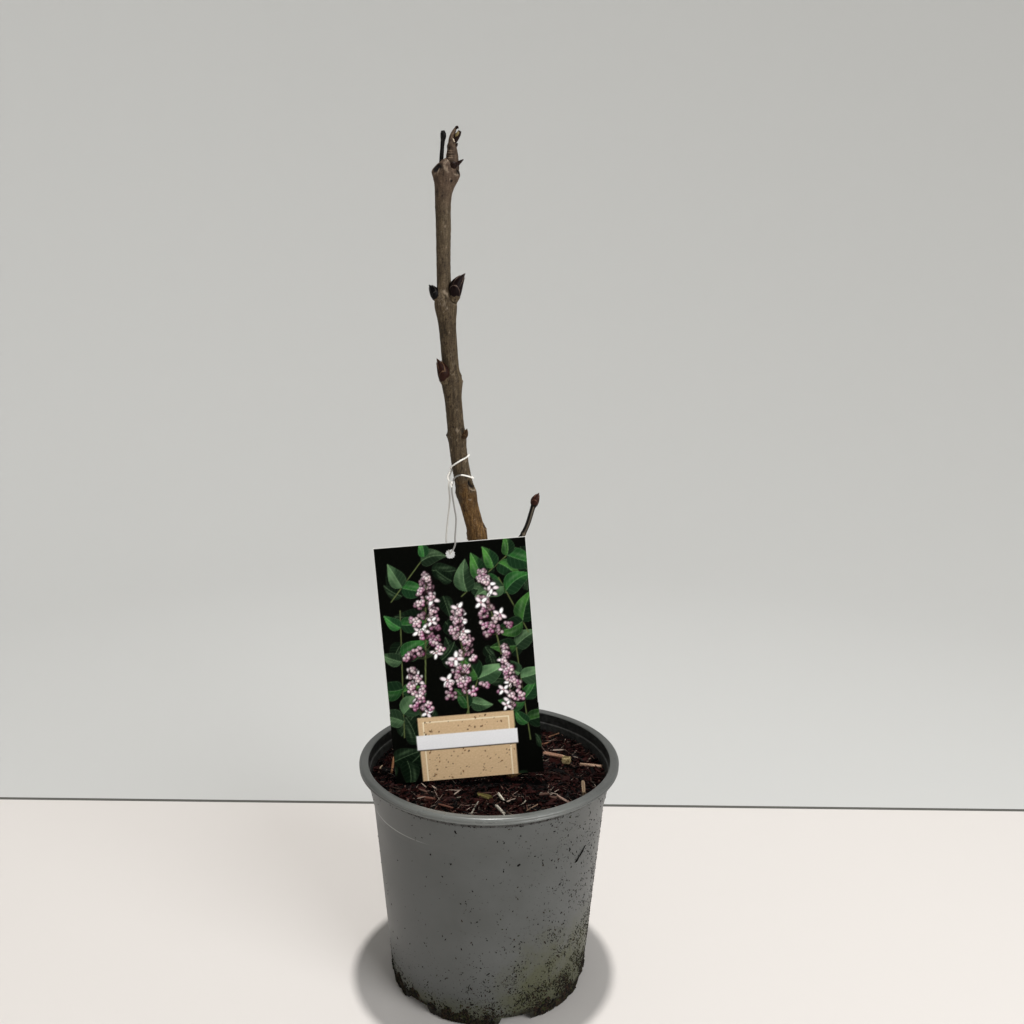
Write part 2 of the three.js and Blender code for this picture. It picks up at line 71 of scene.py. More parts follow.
# Adds a node. Names in small letters are its settings, the others are sockets.
def addNode(tree, kind, *values, stops=(), **named):
    node = tree.nodes.new("ShaderNode" + kind)
    for name in [name for name in named if name.islower()]:
        setattr(node, name, named.pop(name))
    feed(node, *values, **named)
    for i, (place, colour) in enumerate(stops):  # a colour ramp starts with two stops
        element = node.color_ramp.elements[i] if i < 2 else node.color_ramp.elements.new(place)
        element.position, element.color = place, hexColour(colour)
    return node


def startMaterial(name, colour, roughness, **sockets):
    material = bpy.data.materials.new(name)
    material.use_nodes = True
    shader = material.node_tree.nodes["Principled BSDF"]
    feed(shader, Base_Color=colour, Roughness=roughness, **sockets)
    return material, partial(addNode, material.node_tree), shader


# Fine relief for a shader's Normal: noise with grains of this size, raised this high, in mm.
def addRelief(add, place, size, detail, strength, height, roughness=0.5):
    grain = add("TexNoise", place, 1 / (size * mm), detail, roughness)
    return add("Bump", Height=grain, Strength=strength, Distance=height * mm)


def addShape(kind, name, **sizes):
    bpy.ops.object.select_all(action="DESELECT")
    getattr(bpy.ops.mesh, f"primitive_{kind}_add")(**sizes)
    bpy.context.object.name = name
    return bpy.context.object


# x and y of a point this far out, in this direction.
def polar(radius, angle):
    return radius * np.cos(angle), radius * np.sin(angle)


# 1 at 0, and soon 0 on both sides.
def bell(value):
    return np.exp(-value**2)


def pick(*pieces):
    if bpy.context.mode != "OBJECT":
        bpy.ops.object.mode_set(mode="OBJECT")
    bpy.ops.object.select_all(action="DESELECT")
    for piece in pieces:
        piece.select_set(True)
    bpy.context.view_layer.objects.active = pieces[0]


def editAll():
    bpy.ops.object.mode_set(mode="EDIT")
    bpy.ops.mesh.select_all(action="SELECT")


# Merges points that coincide and turns the faces outwards.
def weld(threshold):
    editAll()
    bpy.ops.mesh.remove_doubles(threshold=threshold)
    bpy.ops.mesh.normals_make_consistent(inside=False)
    bpy.ops.object.mode_set(mode="OBJECT")


def applyModifiers(piece):
    pick(piece)
    for modifier in list(piece.modifiers):
        bpy.ops.object.modifier_apply(modifier=modifier.name)


def settle(piece, slot, *replaced):
    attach(piece, "root")
    if replaced:
        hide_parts(*replaced)


def readArray(items, key, width=3, kind=float):
    flat = np.empty(width * len(items), kind)
    items.foreach_get(key, flat)
    return flat.reshape(-1, width)


def meshPiece(name, points, faces, materials, materialOfFace=None, smooth=True):
    mesh = bpy.data.meshes.new(name)
    mesh.from_pydata(np.asarray(points, float).tolist(), [], faces)
    for material in materials:
        mesh.materials.append(material)
    if materialOfFace is not None:
        mesh.polygons.foreach_set("material_index", np.asarray(materialOfFace, np.int32))
    mesh.polygons.foreach_set("use_smooth", np.full(len(mesh.polygons), smooth))
    mesh.update()
    piece = bpy.data.objects.new(name, mesh)
    bpy.context.scene.collection.objects.link(piece)
    return piece


def pointAttribute(piece, name, values):
    attribute = piece.data.attributes.new(name, "FLOAT", "POINT")
    attribute.data.foreach_set("value", np.asarray(values, np.float32))


# Many small copies of a few shapes, joined into one mesh: each copy is (shape, matrix, material index).
def scatterPiece(name, copies, materials, smooth=False):
    points, faces, indices = [], [], []
    start = 0
    for (shapePoints, shapeFaces), matrix, index in copies:
        turned = shapePoints @ matrix[:3, :3].T + matrix[:3, 3]
        points.append(turned)
        faces += [[corner + start for corner in face] for face in shapeFaces]
        indices += [index] * len(shapeFaces)
        start += len(turned)
    return meshPiece(name, np.concatenate(points), faces, materials, indices, smooth)


room = {  # metres, degrees and watts
    "floorColour": "d7d3d0", "wallColour": "c5c6c5", "seamShadeColour": "565652",
    "boardEdge": 0.2238, "seamShadeWidth": 0.0044, "floorRadius": 1.0, "wallRadius": 2.3, "wallHeight": 1.8,
    "lampPlace": (0.056, 0.072, 3.05), "lampSize": 0.16, "lampPower": 66, "lampColour": "fffcf8",
    "panelPlace": (1.15, -1.2, 0.95), "panelSize": 1.1, "panelPower": 8.8, "panelSpread": 110,
    "aimHeight": 0.2, "skyStrength": 0.08, "skyColour": "f3f4f5",
}
cameraSpot = {
    "place": (0.01335, -0.61433, 0.45568), "pitch": -15.616, "roll": 0.674,
    "lens": 36, "sensor": 36, "shift": 0.0561,
}


# Matt paint: a warm white board in front, and past its shaded far edge a cooler floor and wall in one sweep.
def boardPaint():
    paint, add, shader = startMaterial("painted board", room["floorColour"], 0.8)
    spot = add("SeparateXYZ", add("TexCoord").outputs["Object"])
    beyond = add("Math", spot.outputs["Y"], room["boardEdge"], operation="GREATER_THAN")
    lifted = add("MapRange", spot.outputs["Z"], 0, 0.35, 0, 1)
    wall = add("Math", beyond, lifted, operation="MAXIMUM")
    tone = add("Mix", wall, room["floorColour"], room["wallColour"], data_type="RGBA")
    # a dark line along the board's far edge: painted shade
    edge = add("Math", spot.outputs["Y"], room["boardEdge"], room["seamShadeWidth"] / 2, operation="COMPARE")
    flat = add("Math", spot.outputs["Z"], 0.001, operation="LESS_THAN")
    seam = add("Math", edge, flat, operation="MULTIPLY")
    feed(shader, Base_Color=add("Mix", seam, tone, room["seamShadeColour"], data_type="RGBA"))
    return paint


# Floor and wall in one sweep, so nothing cuts the view behind the plant.
def makeRoom():
    floor = addShape("circle", "floor", vertices=96, radius=room["floorRadius"], fill_type="NGON")
    floor.data.materials.append(boardPaint())
    editAll()
    rise = room["wallRadius"] - room["floorRadius"]
    steps = 24
    turns = [math.pi / 2 * i / steps for i in range(steps + 1)]
    radii = [room["floorRadius"] + rise * math.sin(turn) for turn in turns]
    for i in range(steps):  # a quarter circle of rings, up into the wall
        lift = rise * (math.cos(turns[i]) - math.cos(turns[i + 1]))
        bpy.ops.mesh.extrude_region_move(TRANSFORM_OT_translate={"value": (0, 0, lift)})
        bpy.ops.transform.resize(value=(radii[i + 1] / radii[i], radii[i + 1] / radii[i], 1))
    bpy.ops.mesh.extrude_region_move(TRANSFORM_OT_translate={"value": (0, 0, room["wallHeight"])})
    bpy.ops.mesh.delete(type="FACE")
    bpy.ops.object.mode_set(mode="OBJECT")
    bpy.ops.object.shade_smooth()


def makeLights():
    bpy.ops.object.light_add(type="AREA", location=room["lampPlace"])
    lamp = bpy.context.object
    lamp.name = "ceiling lamp"
    lamp.data.shape = "DISK"
    lamp.data.size = room["lampSize"]
    lamp.data.energy = room["lampPower"]
    lamp.data.color = hexColour(room["lampColour"])[:3]
    bpy.ops.object.light_add(type="AREA", location=room["panelPlace"])
    panel = bpy.context.object
    panel.name = "side light"
    panel.data.size = room["panelSize"]
    panel.data.energy = room["panelPower"]
    panel.data.spread = math.radians(room["panelSpread"])
    panel.visible_camera = False
    aim = Vector(room["panelPlace"]) - Vector((0, 0, room["aimHeight"]))
    panel.rotation_euler = aim.to_track_quat("Z", "Y").to_euler()
    world = bpy.data.worlds.new("soft room light")
    world.use_nodes = True
    feed(world.node_tree.nodes["Background"], room["skyColour"], room["skyStrength"])
    bpy.context.scene.world = world
    bpy.context.scene.view_settings.view_transform = "Standard"


def makeCamera():
    bpy.ops.object.camera_add(location=cameraSpot["place"])
    camera = bpy.context.object
    camera.name = "camera"
    camera.data.lens = cameraSpot["lens"]
    camera.data.sensor_width = cameraSpot["sensor"]
    camera.data.shift_y = cameraSpot["shift"]
    tip = Matrix.Rotation(math.radians(90 + cameraSpot["pitch"]), 4, "X")
    roll = Matrix.Rotation(math.radians(cameraSpot["roll"]), 4, "Z")
    camera.rotation_euler = (tip @ roll).to_euler()
    bpy.context.scene.camera = camera


makeRoom()
makeLights()
makeCamera()
print("room, light and camera are in place")


pot = {  # heights and radii in mm
    "height": 157.6, "rimRadius": 84.6, "mouthRadius": 78.6, "rimThickness": 3.8,
    "collarTop": (80.1, 150.3), "collarFoot": (76.2, 131), "wallTop": (75.6, 127), "wallFoot": (66.3, 9),
    "footRadius": 63.9, "skirt": 2.4, "wall": 1.5, "ledge": 1, "floorTop": 8.6, "floorUnderside": 7,
    "around": 192, "smoothAngle": 32,
    "notches": 6, "firstNotch": -73.3, "notchHeight": 6.3, "notchFoot": 24, "notchTop": 18,
    "notchDepth": 14, "overcut": 2, "drainRadius": 4.5, "drainDepth": 6, "drainCircle": 54,
}


def outerRadius(z):
    ends = ("wallFoot", "wallTop") if z < pot["collarFoot"][1] else ("collarFoot", "collarTop")
    (lowRadius, low), (highRadius, high) = (pot[end] for end in ends)
    return lowRadius + (highRadius - lowRadius) * (z - low) / (high - low)


# Points of an outline whose corners (radius, height, rounding) are turned into short arcs.
def roundedOutline(corners, steps=4):
    outline = []
    for i, (x, y, rounding) in enumerate(corners):
        here = Vector((x, y))
        if rounding == 0 or i in (0, len(corners) - 1):
            outline.append(here)
            continue
        before = Vector(corners[i - 1][:2]) - here
        after = Vector(corners[i + 1][:2]) - here
        reach = min(rounding, before.length * 0.49, after.length * 0.49)
        start, end = here + before.normalized() * reach, here + after.normalized() * reach
        for k in range(steps + 1):
            t = k / steps
            outline.append(start * (1 - t) ** 2 + here * 2 * t * (1 - t) + end * t ** 2)
    return outline


def potOutline():
    top, lip, mouth, foot = (pot[key] for key in ("height", "rimRadius", "mouthRadius", "footRadius"))
    under, ledge, beneath = top - pot["rimThickness"], pot["collarTop"][1], pot["floorUnderside"]
    skirtInside = foot - pot["skirt"]
    inside = [(pot[key][0] - pot["wall"], pot[key][1], 0.6) for key in ("wallTop", "collarFoot")]
    return roundedOutline([
        (0, pot["floorTop"], 0),
        (outerRadius(pot["floorTop"] + 3) - pot["wall"], pot["floorTop"], 3),
        *inside,
        (mouth - pot["ledge"], ledge - 0.5, 0.5),
        (mouth, ledge, 0.5),
        (mouth + 0.1, top - 0.2, 1.1),
        (lip - 1.2, top + 0.1, 0.9),
        (lip, top - 1.0, 1.1),
        (lip, top - 1.9, 0.3),
        (lip - 0.4, top - 2.3, 0.3),
        (lip - 0.1, top - 2.7, 0.3),
        (lip, under, 1.0),
        (pot["collarTop"][0] + 0.4, under - 0.2, 0.8),
        (*pot["collarTop"], 0.4),
        (*pot["collarFoot"], 0.9),
        (*pot["wallTop"], 0.5),
        (*pot["wallFoot"], 1.5),
        (foot + 1.8, 3.5, 1.2),
        (foot + 1.2, 1, 0.6),
        (foot, 0, 0.4),
        (skirtInside, 0, 0.4),
        (skirtInside, beneath - 1, 0.4),
        (skirtInside - 1, beneath, 0.4),
        (0, beneath, 0),
    ])


# Cuts the notches out of the foot ring, and the drain holes behind them.
def cutPot(piece):
    cutters = []
    for i in range(pot["notches"]):
        turn = math.radians(pot["firstNotch"] + 360 / pot["notches"] * i)
        wedge = addShape("cube", "notch", size=1,
                         location=(pot["footRadius"] * mm, 0, (pot["notchHeight"] - pot["overcut"]) / 2 * mm))
        wedge.scale = (pot["notchDepth"] * mm, pot["notchFoot"] * mm,
                       (pot["notchHeight"] + pot["overcut"]) * mm)
        bpy.ops.object.transform_apply(location=True, scale=True)
        for corner in wedge.data.vertices:
            if corner.co.z > 0:
                corner.co.y *= pot["notchTop"] / pot["notchFoot"]
        drain = addShape("cylinder", "drain", vertices=32, radius=pot["drainRadius"] * mm,
                         depth=pot["drainDepth"] * mm,
                         location=(pot["drainCircle"] * mm, 0, pot["floorTop"] * mm))
        bpy.ops.object.transform_apply(location=True)
        for cutter in (wedge, drain):
            cutter.data.transform(Matrix.Rotation(turn, 4, "Z"))
            cutters.append(cutter)
    pick(*cutters)
    bpy.ops.object.join()
    cut = piece.modifiers.new("cut", "BOOLEAN")
    cut.object = cutters[0]
    cut.operation = "DIFFERENCE"
    cut.solver = "EXACT"
    applyModifiers(piece)
    bpy.data.objects.remove(cutters[0])
    piece.data.materials.clear()


def makePot():
    piece = addShape("plane", "nursery_pot", size=1)  # merged to one point and drawn out along the outline
    bpy.ops.object.mode_set(mode="EDIT")
    bpy.ops.mesh.merge(type="CENTER")
    outline = potOutline()
    bpy.ops.transform.translate(value=(outline[0].x * mm, 0, outline[0].y * mm))
    for before, after in zip(outline, outline[1:]):
        step = (after - before) * mm
        bpy.ops.mesh.extrude_region_move(TRANSFORM_OT_translate={"value": (step.x, 0, step.y)})
    bpy.ops.mesh.select_all(action="SELECT")
    bpy.ops.mesh.spin(steps=pot["around"], angle=fullTurn, center=(0, 0, 0), axis=(0, 0, 1))
    weld(0.02 * mm)
    cutPot(piece)
    pick(piece)
    bpy.ops.object.shade_smooth_by_angle(angle=math.radians(pot["smoothAngle"]))
    piece.data.materials.append(potPlastic())
    piece.data.materials.append(darkInnerPlastic())
    centres, normals = readArray(piece.data.polygons, "center") / mm, readArray(piece.data.polygons, "normal")
    outwards = np.einsum("ij,ij->i", centres[:, :2], normals[:, :2]) / np.linalg.norm(centres[:, :2], axis=1)
    inside = (outwards < -0.5) & (centres[:, 2] > pot["floorTop"]) & (centres[:, 2] < pot["height"] - 0.8)
    piece.data.polygons.foreach_set("material_index", inside.astype(np.int32))
    settle(piece, "pot_plastic", "pot")


# The inside of the wall: the plastic is made nearly black, in patches.
def darkInnerPlastic():
    material, add, shader = startMaterial(
        "nearly black inner polypropylene", "151615", 0.6, Specular_IOR_Level=0.25)
    mottling = add("TexNoise", add("TexCoord").outputs["Object"], 1 / (3 * mm), 5)
    feed(shader, Base_Color=add("ValToRGB", mottling, stops=[(0.35, "0d0d0c"), (0.7, "272826")]))
    return material


# Injection-moulded polypropylene: an even satin grey, dulled by handling, with dried splashes near its foot.
def potPlastic():
    material, add, shader = startMaterial("moulded polypropylene", "4a4c4a", 0.42, IOR=1.49)
    place = add("TexCoord").outputs["Object"]
    x, y, z = add("SeparateXYZ", place).outputs
    cloud = add("TexNoise", place, 1 / (35 * mm), 4, 0.55)
    colour = add("ValToRGB", cloud, stops=[(0.3, "434543"), (0.7, "4e504f")])
    # the green film where splashes stay damp: low on the wall, most of it on the right
    low = add("MapRange", z, 90 * mm, 12 * mm, 0, 1.3)
    right = add("MapRange", x, -2 * mm, 32 * mm, 0.2, 1)
    splashed = add("Math", low, right, operation="MULTIPLY")
    foot = add("MapRange", z, 32 * mm, 7 * mm, 0, 0.8)
    damp = add("Math", splashed, foot, operation="MAXIMUM")
    patch = add("TexNoise", place, 1 / (9 * mm), 6, 0.7)
    film = add("Math", damp, patch, operation="MULTIPLY")
    filmShare = add("MapRange", film, 0.15, 0.45, 0, 0.85)
    # soil dried along the bottom edge, the heaviest at both sides of the front
    edge = add("MapRange", z, 22 * mm, 3 * mm, 0, 1)
    crust = add("TexNoise", place, 1 / (5 * mm), 8, 0.75)
    aside = add("Math", add("Math", x, 10 * mm, operation="ADD"), operation="ABSOLUTE")
    caked = add("Math", edge, add("MapRange", aside, 12 * mm, 36 * mm, 0.72, 0.95), operation="MULTIPLY")
    crustShare = add("MapRange", add("Math", caked, crust, operation="ADD"), 1.02, 1.3, 0, 0.92)
    # splashes too fine to be modelled
    splash = add("TexNoise", place, 1 / (1.5 * mm), 2)
    reach = add("MapRange", x, -25 * mm, 50 * mm, 0, 0.06)
    wet = add("Math", reach, add("MapRange", z, 80 * mm, 0, 0, 0.12), operation="ADD")
    dotShare = add("MapRange", add("Math", splash, wet, operation="ADD"), 0.71, 0.77, 0, 0.75)
    # silt and painted shade in the corner under the rim, a painted highlight on the rim's front, which is
    # also made glossier, and at the left a painted highlight along the edge of the collar's step
    gap = add("Math", z, 150.4 * mm, 0.75 * mm, operation="COMPARE")
    siltAndShade = add("Math", gap, add("MapRange", crust, 0.38, 0.55, 0.15, 0.9), operation="MULTIPLY")
    rim = add("MapRange", z, 153.2 * mm, 154 * mm, 0, 1)
    rimHighlight = add("Math", rim, add("MapRange", y, -48 * mm, -80 * mm, 0, 0.6), operation="MULTIPLY")
    line = add("Math", z, 131 * mm, 0.35 * mm, operation="COMPARE")
    stepHighlight = add("Math", line, add("MapRange", x, -34 * mm, -58 * mm, 0, 0.75), operation="MULTIPLY")
    # the fourth colour is silt and painted shade under the rim; the last two are painted highlights, on the
    # rim's front and on the collar's step at the left
    for share, over in ((filmShare, "3c3e22"), (crustShare, "16120c"), (dotShare, "17140f"),
                        (siltAndShade, "191612"), (rimHighlight, "767976"), (stepHighlight, "9a9c99")):
        colour = add("Mix", share, colour, over, data_type="RGBA")
    rough = add("MapRange", cloud, 0.3, 0.7, 0.36, 0.5)
    soiled = add("Math", rough, crustShare, operation="ADD", use_clamp=True)
    polish = add("Math", rimHighlight, -0.3, operation="MULTIPLY")
    feed(shader, Base_Color=colour, Roughness=add("Math", soiled, polish, operation="ADD"),
         Normal=addRelief(add, place, 1.1, 3, 0.12, 0.2, 0.6))
    return material


makePot()
print("pot is turned and cut")


compost = {  # mm; each band has its number of pieces, the shares of the five tones, the range of lengths,
    # of widths as shares of the length and of thicknesses, and how far the pieces lean, in degrees
    "level": 145.4, "swell": 0.7, "waveLengthX": 17, "waveLengthY": 20,
    "groundLevel": 146.6, "firmedRadius": 17, "easeWidth": 14, "radius": 77.3, "depth": 14, "gap": 0.6,
    "clearOfStem": 11,
    "sink": 0.9, "bumps": ((6, 1.3, 0), (1.8, 1.1, 5)),  # the bed lies this low; its bumps: wide, high, layer
    "lifts": (-0.6, 1.1), "rings": 60, "around": 150, "seed": 31,
    "tones": (("wet bark", "060404", 0.5), ("red-brown bark", "200b0a", 0.5), ("torn bark", "2c1412", 0.6),
              ("dry bark", "4d3a33", 0.75), ("pale fibre", "84766c", 0.8)),
    "shards": (900, (47, 38, 13, 2, 0), (2.6, 8), (0.26, 0.46), (0.5, 1.4), 24),
    "fibres": (3200, (36, 32, 18, 9, 5), (3, 11), (0.055, 0.12), (0.3, 0.8), 22),
    "crumbs": (5200, (58, 31, 9, 2, 0), (0.9, 2.6), (0.6, 1), (0.4, 1.6), 40),
    "hairs": (480, (10, 20, 25, 25, 20), (7, 17), (0.02, 0.035), (0.2, 0.4), 14),
}
stemFoot = (13.5, 1.5)


def smoothStep(value, low, high):
    t = min(max((value - low) / (high - low), 0), 1)
    return t * t * (3 - 2 * t)


def compostHeight(x, y):
    waves = math.sin(x / compost["waveLengthX"] + 0.8) * math.cos(y / compost["waveLengthY"] - 0.4)
    ripples = 0.5 * math.sin((x + 2 * y) / (1.5 * compost["waveLengthX"]))
    loose = compost["level"] + compost["swell"] * (waves + ripples) / 1.5
    distance = math.hypot(x - stemFoot[0], y - stemFoot[1])
    ease = smoothStep(distance, compost["firmedRadius"], compost["firmedRadius"] + compost["easeWidth"])
    return compost["groundLevel"] + (loose - compost["groundLevel"]) * ease


# Where a copy of a shape goes: its place and size in mm, its turns in radians; the matrix is in metres.
def matrixAt(place, size, heading=0, tilt=0, roll=0):
    turn = Matrix.Rotation(heading, 3, "Z") @ Matrix.Rotation(tilt, 3, "Y") @ Matrix.Rotation(roll, 3, "X")
    matrix = np.eye(4)
    matrix[:3, :3] = np.array(turn) * np.array(size) * mm
    matrix[:3, 3] = np.array(place) * mm
    return matrix


# A splinter of bark, 1 long, 1 wide and 1 thick, with ragged ends.
def shardShape(dice):
    top = []
    for x, y in ((-0.5, -0.3), (-0.15, -0.5), (0.4, -0.42), (0.5, 0.1), (0.2, 0.5), (-0.42, 0.38)):
        top.append((x + dice.uniform(-0.08, 0.08), y + dice.uniform(-0.12, 0.12)))
    points = [(x, y, 0.5 - 0.3 * abs(x) + dice.uniform(-0.1, 0.1)) for x, y in top]
    points += [(x * 0.94, y * 0.8, -0.5) for x, y in top]
    count = len(top)
    faces = [list(range(count)), list(range(2 * count - 1, count - 1, -1))]
    faces += [[i, i + count, (i + 1) % count + count, (i + 1) % count] for i in range(count)]
    return np.array(points), faces


# A thin bent strip, three-sided, drawn out to both ends.
def fibreShape(dice, bend, stretches=5):
    points, faces = [], []
    phase = dice.uniform(0, 6.28)
    for i in range(stretches + 1):
        t = i / stretches
        width = 0.5 * (1 - (2 * t - 1) ** 4 * 0.75)
        sway = bend * math.sin(math.pi * t + phase * 0.3)
        lift = bend * 0.6 * math.sin(fullTurn * t + phase)
        for k in range(3):
            angle = fullTurn * k / 3 + phase
            points.append((t - 0.5, sway + width * math.cos(angle), lift + width * math.sin(angle)))
    for i in range(stretches):
        for k in range(3):
            a, b = 3 * i + k, 3 * i + (k + 1) % 3
            faces.append([a, b, b + 3, a + 3])
    last = 3 * stretches
    return np.array(points), faces + [[2, 1, 0], [last, last + 1, last + 2]]


def crumbShape(dice):
    ball = addShape("ico_sphere", "crumb", subdivisions=1, radius=0.5)
    points = readArray(ball.data.vertices, "co")
    faces = [list(face.vertices) for face in ball.data.polygons]
    bpy.data.objects.remove(ball)
    return points * np.array([dice.uniform(0.7, 1.2) for _ in points])[:, None], faces


# Shredded bark: dark and damp, so nearly black with a dull sheen, and reddish where it is torn open.
def barkMulch(name, colour, roughness):
    material, add, shader = startMaterial(name, colour, roughness, Specular_IOR_Level=0.05)
    feed(shader, Normal=addRelief(add, add("TexCoord").outputs["Object"], 0.7, 3, 0.5, 0.3))
    return material


# The bed under the loose pieces: rings of points, closed by a wall and a floor inside the pot.
def makeBed():
    rings, around = compost["rings"], compost["around"]
    points, faces = [], []
    for ring in range(rings + 1):
        for k in range(around):
            x, y = polar(compost["radius"] * ring / rings, fullTurn * k / around)
            z = compostHeight(x, y) - compost["sink"]
            for wide, high, layer in compost["bumps"]:
                z += high * noise.noise(Vector((x, y, layer)) / wide)
            points.append((x, y, z))
    deep = compost["level"] - compost["depth"]
    foot = (outerRadius(deep) - pot["wall"] - compost["gap"]) / compost["radius"]  # it narrows with the pot
    points += [(x * foot, y * foot, deep) for x, y, _ in points[-around:]]
    for ring in range(rings + 1):
        for k in range(around):
            a, b = ring * around + k, ring * around + (k + 1) % around
            faces.append([a, a + around, b + around, b])
    faces.append([len(points) - 1 - k for k in range(around)])
    bed = meshPiece("compost_bed", np.array(points) * mm, faces, [barkMulch("damp peat", "040303", 0.8)])
    pick(bed)
    weld(0.01 * mm)
    settle(bed, "bark_compost", "compost")


def makeMulch():
    dice = random.Random(compost["seed"])
    tones = [barkMulch(*tone) for tone in compost["tones"]]
    shapes = {
        "shards": [shardShape(dice) for _ in range(7)],
        "fibres": [fibreShape(dice, bend) for bend in (0.06, 0.12, 0.2, 0.3)],
        "crumbs": [crumbShape(dice) for _ in range(5)],
        "hairs": [fibreShape(dice, bend, 7) for bend in (0.15, 0.3, 0.45)],
    }
    for band in shapes:
        count, shares, lengths, widths, thickness, lean = compost[band]
        copies = []
        while len(copies) < count:
            length = dice.uniform(*lengths)
            reach = compost["radius"] - 0.5 - length * 0.42
            x, y = polar(reach * math.sqrt(dice.random()), dice.uniform(0, fullTurn))
            width = length * dice.uniform(*widths)
            size = (length, width, min(width, dice.uniform(*thickness)))
            fromStem = math.hypot(x - stemFoot[0], y - stemFoot[1]) - length / 3
            if fromStem < compost["clearOfStem"] or nearCard(x, y, length / 2):
                continue
            lift = compostHeight(x, y) + dice.uniform(*compost["lifts"])
            matrix = matrixAt((x, y, lift), size, dice.uniform(0, fullTurn),
                              math.radians(dice.gauss(0, lean) * 0.5), math.radians(dice.gauss(0, lean)))
            copies.append((dice.choice(shapes[band]), matrix, dice.choices(range(5), shares)[0]))
        settle(scatterPiece("compost_" + band, copies, tones), "bark_compost")


card = {  # mm and degrees
    "width": 94.8, "height": 152.4, "thickness": 0.6, "holeRadius": 2.6, "holeDrop": 7.3,
    "corner": (-59.1, -19.1), "yaw": 1.5, "lean": 7, "skew": 5,
}


# The label stands in the compost along this line; pieces that would pierce it are left out.
def nearCard(x, y, reach):
    along = x - card["corner"][0]
    line = card["corner"][1] + along * math.tan(math.radians(card["yaw"]))
    aside = y - line
    return -2 - reach < along < card["width"] + reach and -1 - reach * 0.6 < aside < 1.5 + reach * 0.6


makeBed()
makeMulch()
print("compost is spread")


# Draws a grid over a surface: place(u, v) gives points in mm and any values kept per point.
def wrapGrid(name, across, along, place, material):
    piece = addShape("grid", name, x_subdivisions=across, y_subdivisions=along, size=1)
    mesh = piece.data
    u, v, _ = (readArray(mesh.vertices, "co") + 0.5).T
    points, values = place(u, v)
    mesh.vertices.foreach_set("co", (points * mm).ravel())
    for key, value in values.items():
        pointAttribute(piece, key, value)
    mesh.materials.append(material)
    weld(0.001 * mm)
    bpy.ops.object.shade_smooth()
    return piece


def joinPieces(name, pieces):
    pick(*pieces)
    bpy.ops.object.join()
    pieces[0].name = name
    return pieces[0]


def noiseField(x, y, z, size=1):
    scaled = np.stack([x, y, z], axis=1) / np.array(size)
    return np.array([noise.noise(Vector(point)) for point in scaled.tolist()])


# A cubic from one point to the next, with the slopes that it leaves and arrives with.
def glide(t, here, leave, there, arrive):
    return ((2 * t**3 - 3 * t**2 + 1) * here + (t**3 - 2 * t**2 + t) * leave
            + (3 * t**2 - 2 * t**3) * there + (t**3 - t**2) * arrive)


# A smooth curve through points, drawn in so many even steps.
def smoothRoute(route, steps):
    route = np.asarray(route, float)
    ends = [2 * route[0] - route[1], *route, 2 * route[-1] - route[-2]]
    drawn = []
    for i in range(1, len(ends) - 2):
        points = ends[i - 1:i + 3]
        gaps = [max(np.linalg.norm(b - a) ** 0.5, 1e-6) for a, b in zip(points, points[1:])]
        slopes = []
        for a, b, c, before, after in zip(points, points[1:], points[2:], gaps, gaps[1:]):
            slopes.append(((b - a) / before - (c - a) / (before + after) + (c - b) / after) * gaps[1])
        t = np.linspace(0, 1, 24, endpoint=False)[:, None]
        drawn.append(glide(t, points[1], slopes[0], points[2], slopes[1]))
    drawn = np.vstack([*drawn, route[-1:]])
    lengths = np.concatenate([[0], np.cumsum(np.linalg.norm(np.diff(drawn, axis=0), axis=1))])
    even = np.linspace(0, lengths[-1], steps)
    return np.stack([np.interp(even, lengths, drawn[:, k]) for k in range(drawn.shape[1])], axis=1)


# A round limb along a route, closed at both ends. Its relief gives how far its skin stands out, and its tone.
def limbPiece(name, route, radii, sides, rows, material, relief=None):
    centres = smoothRoute(route, rows - 1)
    ahead = np.gradient(centres, axis=0)
    ahead /= np.linalg.norm(ahead, axis=1)[:, None]
    across = np.empty_like(ahead)
    start = np.array((0, -1, 0)) if abs(ahead[0][1]) < 0.9 else np.array((1, 0, 0))
    for i, direction in enumerate(ahead):
        start = start - direction * (start @ direction)
        start = start / np.linalg.norm(start)
        across[i] = start
    aside = np.cross(ahead, across)

    def place(u, v):
        row = np.rint(v * rows).astype(int)
        inner = np.clip(row - 1, 0, rows - 2)
        t, angle = inner / (rows - 2), fullTurn * (u % 1)
        radius = np.interp(t, np.linspace(0, 1, len(radii)), radii)
        tone = np.zeros(len(u))
        if relief:
            extra, tone = relief(t, angle, centres[inner])
            radius = radius + extra
        radius[(row == 0) | (row == rows)] = 0
        out = across[inner] * np.cos(angle)[:, None] + aside[inner] * np.sin(angle)[:, None]
        return centres[inner] + out * radius[:, None], {"tone": tone}

    return wrapGrid(name, sides, rows, place, material)


